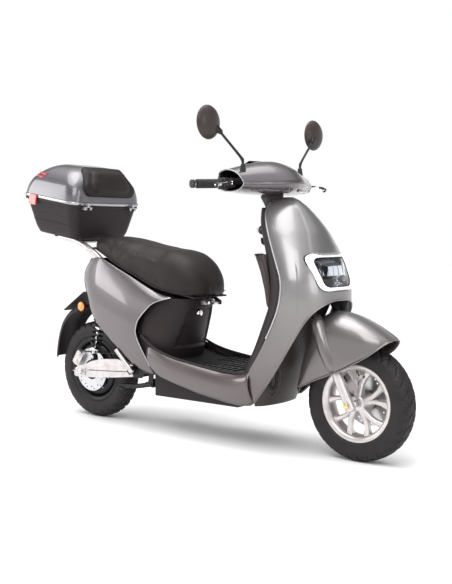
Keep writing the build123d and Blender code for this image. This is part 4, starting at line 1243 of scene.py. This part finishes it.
def front_wheel():
    """Cast wheel with five pairs of spokes, its tyre, valve and disc bolts."""
    tyre("front_tyre", WHEELBASE, "front_wheel")
    wheel_part("front_rim", RIM, WHEELBASE, 120, WHEEL, "front_wheel", "front_rim")
    hub = [
        (8, -30), (22, -30), (27, -28), (30, -22), (30, -6), (34, 8), (36, 30), (34, 44), (20, 46), (8, 46)]
    wheel_part("front_hub", hub, WHEELBASE, 60, WHEEL, "front_wheel")
    for index in range(SPOKE_PAIRS):
        for lean in (-1, 1):
            spoke(index, lean)
    valve = [(2.6, 0), (2.8, 14), (3.6, 15), (3.6, 24), (0, 25)]
    place = (WHEELBASE + 30, -10, TYRE_RADIUS + 112)
    lathe("front_valve", valve, place, (-0.25, -0.5, -0.8), 20, GLOSS_BLACK, "front_wheel")
    bolt = [(0, 5), (4, 4.6), (5, 3), (5, 0)]
    for number in range(5):
        place = wheel_point(WHEELBASE, 40, radians(36 + 72 * number), 55)
        lathe(f"disc_bolt_{number}", bolt, place, (0, 1, 0), 20, STEEL, "front_wheel")


def rear_wheel():
    """Black wheel round a ribbed hub motor, with its tyre."""
    tyre("rear_tyre", 0, "rear_wheel")
    wheel_part("rear_rim", RIM, 0, 120, DARK_CAST, "rear_wheel", "rear_rim")
    shell = [
        (10.5, -47), (50, -47), (57, -45), (62, -40), (70, -38.5), (98, -36), (104, -33), (115, -24),
        (116, -12), (116, 12), (115, 26), (104, 40), (98, 42), (66, 47), (10.5, 48)]
    wheel_part("hub_motor", shell, 0, 96, DARK_CAST, "rear_wheel")
    bolt = [(0, 4), (3, 3.8), (4, 2.6), (4, 0)]
    for number in range(10):
        turn = radians(36 * number)
        ridge = [wheel_point(0, radius, turn, y) for radius, y in ((66, -39.5), (82, -38.6), (98, -37.2))]
        tube(f"motor_rib_{number}", ridge, 2.4, DARK_CAST, "rear_wheel")
        place = wheel_point(0, 90, turn + 0.3, -37.5)
        lathe(f"motor_bolt_{number}", bolt, place, (0, -1, 0), 18, STEEL, "rear_wheel")


# ---- Fork and fender ----
# (distance up the steering axis, radius) of the shroud round each fork leg
FORK_SHROUD = [
    (126, 17), (134, 22), (160, 26), (205, 28), (260, 28), (300, 26), (325, 21), (340, 13), (345, 1)]


def fork():
    """Fork legs and their shrouds, and the front axle."""
    leg = [
        (0, 0), (13, 0), (17, 3), (18.5, 10), (18.5, 44), (17.4, 50), (17.4, 180), (18.0, 236), (14, 240)]
    for side, name in ((-1, "right"), (1, "left")):
        y = side * LEG_Y
        start, end = Vector(steer(-24, FORK_OFFSET, y)), Vector(steer(262, FORK_OFFSET, y))
        lathe(f"fork_leg_{name}", leg, start, end - start, 40, CAST, "fork", "fork_lowers")
        pod = []
        for t, reach in FORK_SHROUD:
            middle = y + side * (9 - 0.12 * max(t - 205, 0))
            pod.append([steer(t, FORK_OFFSET + reach * cos(turn), middle + reach * sin(turn))
                        for turn in half_turn(32, 180)])
        sheet(f"fork_cover_{name}", pod, 2, SILVER, "fork")
    lug = [(1196, 250), (1236, 262), (1262, 300), (1238, 322), (1206, 300)]
    prism("caliper_bracket", lug, (60, 70), 3, CAST, "fork")
    hex_nut = [(0, 9), (8, 9), (10.5, 7), (11, 0), (0, 0)]
    lathe("axle_nut", hex_nut, (WHEELBASE, -96.5, TYRE_RADIUS), (0, -1, 0), 6, GOLD, "fork", "front_axle")
    lathe("axle_head", hex_nut, (WHEELBASE, 95, TYRE_RADIUS), (0, 1, 0), 6, STEEL, "fork")
    for name, low, high in (("near", -59, -31), ("far", 54.5, 59)):
        sleeve = [(7.2, low), (12, low), (12, high), (7.2, high)]
        wheel_part(f"axle_sleeve_{name}", sleeve, WHEELBASE, 30, STEEL, "fork")
    shaft = [(0, -98), (6.9, -98), (6.9, 98), (0, 98)]
    wheel_part("axle_shaft", shaft, WHEELBASE, 24, STEEL, "fork")


# Stations along the fender: its ridge (x, z), its lower edge (x, z) and its half width
FENDER = [
    (1100, 262, 1104, 252, 82), (1102, 310, 1134, 262, 92), (1112, 384, 1192, 289, 101),
    (1140, 466, 1265, 318, 105), (1182, 514, 1310, 338, 104), (1236, 530, 1342, 356, 100),
    (1298, 520, 1374, 375, 92), (1354, 498, 1406, 396, 82), (1402, 473, 1432, 419, 65),
    (1432, 455, 1448, 434, 45), (1448, 444, 1453, 439, 24), (1453, 440, 1454, 438, 7)]


def fender():
    """Pointed front fender, ridged along its middle, with a black sheet of painted shade behind it."""
    rows = []
    for step in range(67):
        ridge_x, ridge_z, low_x, low_z, half = smooth(FENDER, step / 66)
        row = []
        for turn in half_turn(48):
            y = half * (abs(sin(turn)) ** 0.9) * (1 if turn > 0 else -1)
            drop = 1 - cos(turn) ** 0.58 if abs(turn) < pi / 2 - 1e-6 else 1.0
            crest = 2.5 * max(1 - abs(y) / 14, 0.0) - 2.5
            row.append((ridge_x + drop * (low_x - ridge_x), y, ridge_z + crest + drop * (low_z - ridge_z)))
        rows.append(row)
    subdivided(sheet("front_fender", rows, 3, SILVER, "fork", "front_fender"))
    for side, last in ((-1, 0), (1, -1)):
        tube(f"fender_lip_{side + 1}", [row[last] for row in rows[4:63:3]], 2.6, SILVER, "fork")
    # Painted shade: a black sheet between the fender and the shield stands in for the shadow there and hides
    # the backdrop behind the gap.
    arch = [(1128, 300), (1140, 362), (1174, 436), (1214, 480), (1262, 496)]
    liner = []
    for step in range(21):
        x, z = smooth(arch, step / 20)
        liner.append([(x, y, z) for y in range(-60, 61, 10)])
    sheet("fender_shade_sheet", liner, 2, BLACK, "fork")


def brakes():
    """Calipers and hoses of both wheels."""
    lean = radians(56)
    caliper = rounded_outline([(-32, -21), (32, -21), (34, 0), (28, 21), (-28, 21), (-34, 0)], 8, 4)
    piston = [(0, 4), (8, 4), (10, 3), (12.5, 2), (13, 0)]
    pin = [(0, 6.5), (3.5, 6.5), (4, 4)]
    z = TYRE_RADIUS + 46
    for name, x, inner, outer, side, body in (
            ("front", WHEELBASE - 68, 46.5, 72.5, 1, "fork"), ("rear", -68, -49, -75, -1, "swing_arm")):
        outline = []
        for u, v in caliper:
            outline.append((x + u * cos(lean) + v * sin(lean), z + u * sin(lean) - v * cos(lean)))
        prism(f"{name}_caliper", outline, sorted((inner, outer)), 3, CAST, body, f"{name}_caliper")
        for number, along in enumerate((-17, 17)):
            start = (x + along * cos(lean), outer, z + along * sin(lean))
            lathe(f"{name}_piston_{number}", piston, start, (0, side, 0), 30, CAST, body)
            lathe(f"{name}_pin_{number}", pin, start, (0, side, 0), 6, GOLD, body)
    stations = ((262, 4, 56), (228, -20, 59), (180, -40, 60), (132, -40, 62), (94, -30, 60))
    route = [steer(*station) for station in stations]
    tube("front_hose", route, 2.6, GRIP, "fork", "front_brake_hose")
    route = [
        (-78, -72, 284), (-70, -82, 304), (-20, -87, 290), (60, -87, 293), (140, -87, 292), (220, -87, 300)]
    tube("rear_hose", route, 3.0, GRIP, "swing_arm", "rear_brake_hose")


# ---- Swing arm, shocks, stands ----
def swing_arm():
    """Swing arm with its pivot, axle ends, axle adjusters and shock ears."""
    near = [
        (-42, 184), (-44, 204), (-40, 220), (0, 229), (60, 256), (120, 270), (225, 279), (269, 266),
        (345, 256), (362, 244), (362, 228), (330, 216), (200, 200), (62, 187)]
    far = [
        (-30, 190), (-32, 226), (40, 235), (120, 249), (345, 255), (362, 244), (362, 228), (330, 216),
        (40, 189)]
    prism("arm_near", rounded_outline(near, 9, 4), (-116, -92), 4, CAST, "swing_arm", "swing_arm")
    prism("arm_far", rounded_outline(far, 9, 4), (92, 114), 4, CAST, "swing_arm")
    rib = [(24, -116.5, 212), (96, -116.5, 242), (220, -116.5, 256), (312, -116.5, 246)]
    tube("arm_rib", rib, 3.2, CAST, "swing_arm")
    pivot = [(8, -116), (19, -116), (21, -113), (21, 111), (19, 114), (8, 114)]
    lathe("arm_pivot", pivot, (345, 0, 235), (0, 1, 0), 44, DARK_CAST, "swing_arm")
    nut = [(0, 9), (8.5, 9), (13.5, 7.5), (14, 0)]
    screw = [(0, 34), (4, 34), (4, 20), (8, 20), (8, 14), (4, 14), (4, 0), (0, 0)]
    stub = [(0, 62), (16, 62), (16, 93), (0, 93)]
    ear = [(56, 236), (84, 236), (79, 284), (61, 284)]
    for side, nut_y in ((-1, -121), (1, 119)):
        out = (0, side, 0)
        lathe(f"rear_axle_nut_{side + 1}", nut, (0, nut_y, TYRE_RADIUS), out, 6, STEEL, "swing_arm")
        block_y = sorted((side * 115, side * 121))
        box(f"adjuster_{side + 1}", (-30, 26), block_y, (192, 224), 2, CAST, "swing_arm")
        lathe(f"adjuster_screw_{side + 1}", screw, (-24, side * 108, 206), (-1, 0, 0), 6, STEEL, "swing_arm")
        lathe(f"axle_stub_{side + 1}", stub, (0, 0, TYRE_RADIUS), out, 30, STEEL, "swing_arm")
        for y in (SHOCK_Y - 11.5, SHOCK_Y + 8.5):
            span = sorted((side * y, side * (y + 3)))
            prism(f"shock_ear_{side + 1}_{int(y)}", ear, span, 1, DARK_CAST, "swing_arm")


# Shares of the way from a shock's foot to its top
SPRING_FOOT, SPRING_SPAN, SPRING_TOP = 0.185, 0.65, 0.835


def coil_spring(side, foot, run):
    """Coil spring between a shock's two seats."""
    turns, coil_radius, wire_radius = 8, 20.5, 4.3
    along = run.normalized()
    ahead = along.cross(Vector((0, 1, 0)))
    steps = 26 * turns
    rows = []
    for step in range(steps + 1):
        turn = 2 * pi * turns * step / steps
        outward = ahead * cos(turn) + Vector((0, 1, 0)) * sin(turn)
        share = SPRING_FOOT + SPRING_SPAN * step / steps
        centre = foot + run * share + outward * coil_radius
        rows.append([centre + (outward * cos(bend) + along * sin(bend)) * wire_radius
                     for bend in full_turn(12)])
    spring = grid(f"coil_spring_{side + 1}", rows, wrap=True, caps=True)
    spring.data.materials.append(GLOSS_BLACK)
    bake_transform(spring)
    if side < 0:
        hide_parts("shock_springs")


def shocks():
    """Twin shocks: chrome damper, threaded collar, black coil spring."""
    foot, top = Vector((SHOCK_FOOT[0], 0, SHOCK_FOOT[1])), Vector((SHOCK_TOP[0], 0, SHOCK_TOP[1]))
    run = top - foot
    # (radius, share of the way from the foot to the top)
    damper = [
        (6.2, 0.47), (14.6, 0.47), (15, 0.5), (15, 0.84), (25, 0.855), (26, 0.87), (26, 0.89), (20, 0.91),
        (14, 0.94), (11, 0.965)]
    rod = [
        (6, 0.62), (6, 0.165), (25, 0.16), (26, 0.15), (26, 0.14), (16, 0.125), (13, 0.07), (8, 0.055)]
    pin = [(0, 6), (7, 6), (9, 4), (9, 0), (0, 0)]
    for side in (-1, 1):
        shift = Vector((0, side * SHOCK_Y, 0))
        for name, table, body, node in (
                ("body", damper, "shock_upper", "shock_bodies"), ("rod", rod, "shock_lower", "shock_rods")):
            profile = [(radius, share * run.length) for radius, share in table]
            nodes = (node,) if side < 0 else ()
            lathe(f"shock_{name}_{side + 1}", profile, foot + shift, run, 44, CHROME, body, *nodes)
        for name, centre, body, outer, owner in (
                ("top", top, "shock_upper", 12, "chassis"), ("foot", foot, "shock_lower", 13, "swing_arm")):
            eye = [(7, -7), (outer - 1, -8), (outer, -6), (outer, 6), (outer - 1, 8), (7, 7)]
            lathe(f"shock_eye_{name}_{side + 1}", eye, centre + shift, (0, 1, 0), 36, DARK_CAST, body)
            place = centre + Vector((0, side * (SHOCK_Y + 10), 0))
            lathe(f"shock_pin_{name}_{side + 1}", pin, place, (0, side, 0), 6, STEEL, owner)
        coil_spring(side, foot + shift, run)


def carried_over():
    """CAD nodes that keep their shape, with their own materials."""
    looks = {
        BLACK: ("belly_cover", "battery_and_controller", "seat_bucket", "seat_base", "switch_housings"),
        BLACK_STEEL: ("main_frame", "steering_stem", "handlebar", "side_stand", "centre_stand"),
        CAST: ("right_footpeg", "left_footpeg"), DISC: ("front_disc", "rear_disc"),
        STEEL: ("front_bearings",), CHROME: ("ignition_key",)}
    softened_edges = (
        "side_stand", "centre_stand", "right_footpeg", "left_footpeg", "belly_cover", "ignition_key")
    for material, nodes in looks.items():
        for node in nodes:
            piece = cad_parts[node]
            for slot in piece.material_slots:
                slot.material = material
            if not piece.material_slots:
                piece.data.materials.append(material)
            if node in softened_edges:
                rounded(piece, 1.2, 2)


# ---- Stage, light, camera ----
def stage():
    """White studio floor."""
    bpy.ops.mesh.primitive_plane_add(size=30)
    plane = bpy.context.object
    plane.name = "studio_floor"
    shader = Shader("studio_floor", (0.86, 0.86, 0.86), 0.6)
    shader.tint(shader.noise(1.2), 0.99, 1.01)
    plane.data.materials.append(shader.material)


def area_light(name, place, target, size, power):
    light = bpy.data.lights.new(name, "AREA")
    light.shape = "RECTANGLE"
    light.size, light.size_y = size
    light.energy = power
    obj = new_object(name, light)
    obj.location = place
    obj.rotation_euler = (Vector(target) - Vector(place)).to_track_quat("-Z", "Y").to_euler()


# (height of the direction, brightness) of the studio's surroundings
SKY = [(-1.0, 1.0), (0.25, 1.0), (0.34, 0.22), (0.66, 0.22), (0.80, 1.1), (1.0, 1.1)]


def studio():
    """White backdrop, a dark band above it and a bright ceiling, plus four soft boxes."""
    world = bpy.data.worlds.new("studio")
    world.use_nodes = True
    nodes, links = world.node_tree.nodes, world.node_tree.links
    split = nodes.new("ShaderNodeSeparateXYZ")
    links.new(nodes.new("ShaderNodeTexCoord").outputs["Generated"], split.inputs["Vector"])
    span = nodes.new("ShaderNodeMapRange")
    span.inputs["From Min"].default_value = -1.0
    links.new(split.outputs["Z"], span.inputs["Value"])
    ramp = nodes.new("ShaderNodeValToRGB")
    points = ramp.color_ramp.elements
    while len(points) < len(SKY):
        points.new(0.5)
    for point, (height, level) in zip(points, SKY):
        point.position = (height + 1) / 2
        point.color = (level, level, level, 1)
    links.new(span.outputs["Result"], ramp.inputs["Fac"])
    links.new(ramp.outputs["Color"], nodes["Background"].inputs["Color"])
    bpy.context.scene.world = world
    bpy.context.scene.view_settings.view_transform = "Standard"
    area_light("key", (1.6, -3.2, 3.4), (0, 0, 0.5), (2.6, 2.0), 80)
    area_light("front", (4.2, -0.8, 2.0), (0.3, 0, 0.6), (1.2, 2.6), 45)
    area_light("top", (-0.4, 0.2, 4.2), (0, 0, 0.4), (3.4, 2.2), 60)
    area_light("rear", (-3.6, -2.2, 1.8), (-0.3, 0, 0.5), (1.2, 2.2), 50)
    sun = bpy.data.lights.new("overhead", "SUN")
    sun.energy = 2.0
    sun.angle = radians(50)
    lamp = new_object("overhead", sun)
    lamp.rotation_euler = (radians(14), radians(-10), 0)


CAMERA_TURN, CAMERA_RISE = 39.0, 4.04
CAMERA_REACH = 3.7945
CAMERA_TARGET = (706.75, 0, 562.3)


def camera():
    lens = bpy.data.cameras.new("camera")
    lens.lens = 59.86
    lens.sensor_width = 36
    lens.shift_y = 0.0046
    eye = new_object("camera", lens)
    turn, rise = radians(CAMERA_TURN), radians(CAMERA_RISE)
    back = Vector((cos(rise) * sin(turn), -cos(rise) * cos(turn), sin(rise)))
    target = at(*CAMERA_TARGET)
    eye.location = target + back * CAMERA_REACH
    eye.rotation_euler = (-back).to_track_quat("-Z", "Y").to_euler()
    bpy.context.scene.camera = eye


for build in (
        leg_shield, headlamp, inner_shield, lower_fairing, side_skirts, rear_panels, tail_section,
        rear_mudguard, floor, seat_post, seat, top_case, backrest, carrier, handlebar_cover, grips, levers,
        mirrors, front_wheel, rear_wheel, fork, fender, brakes, swing_arm, shocks, carried_over, stage,
        studio, camera):
    build()
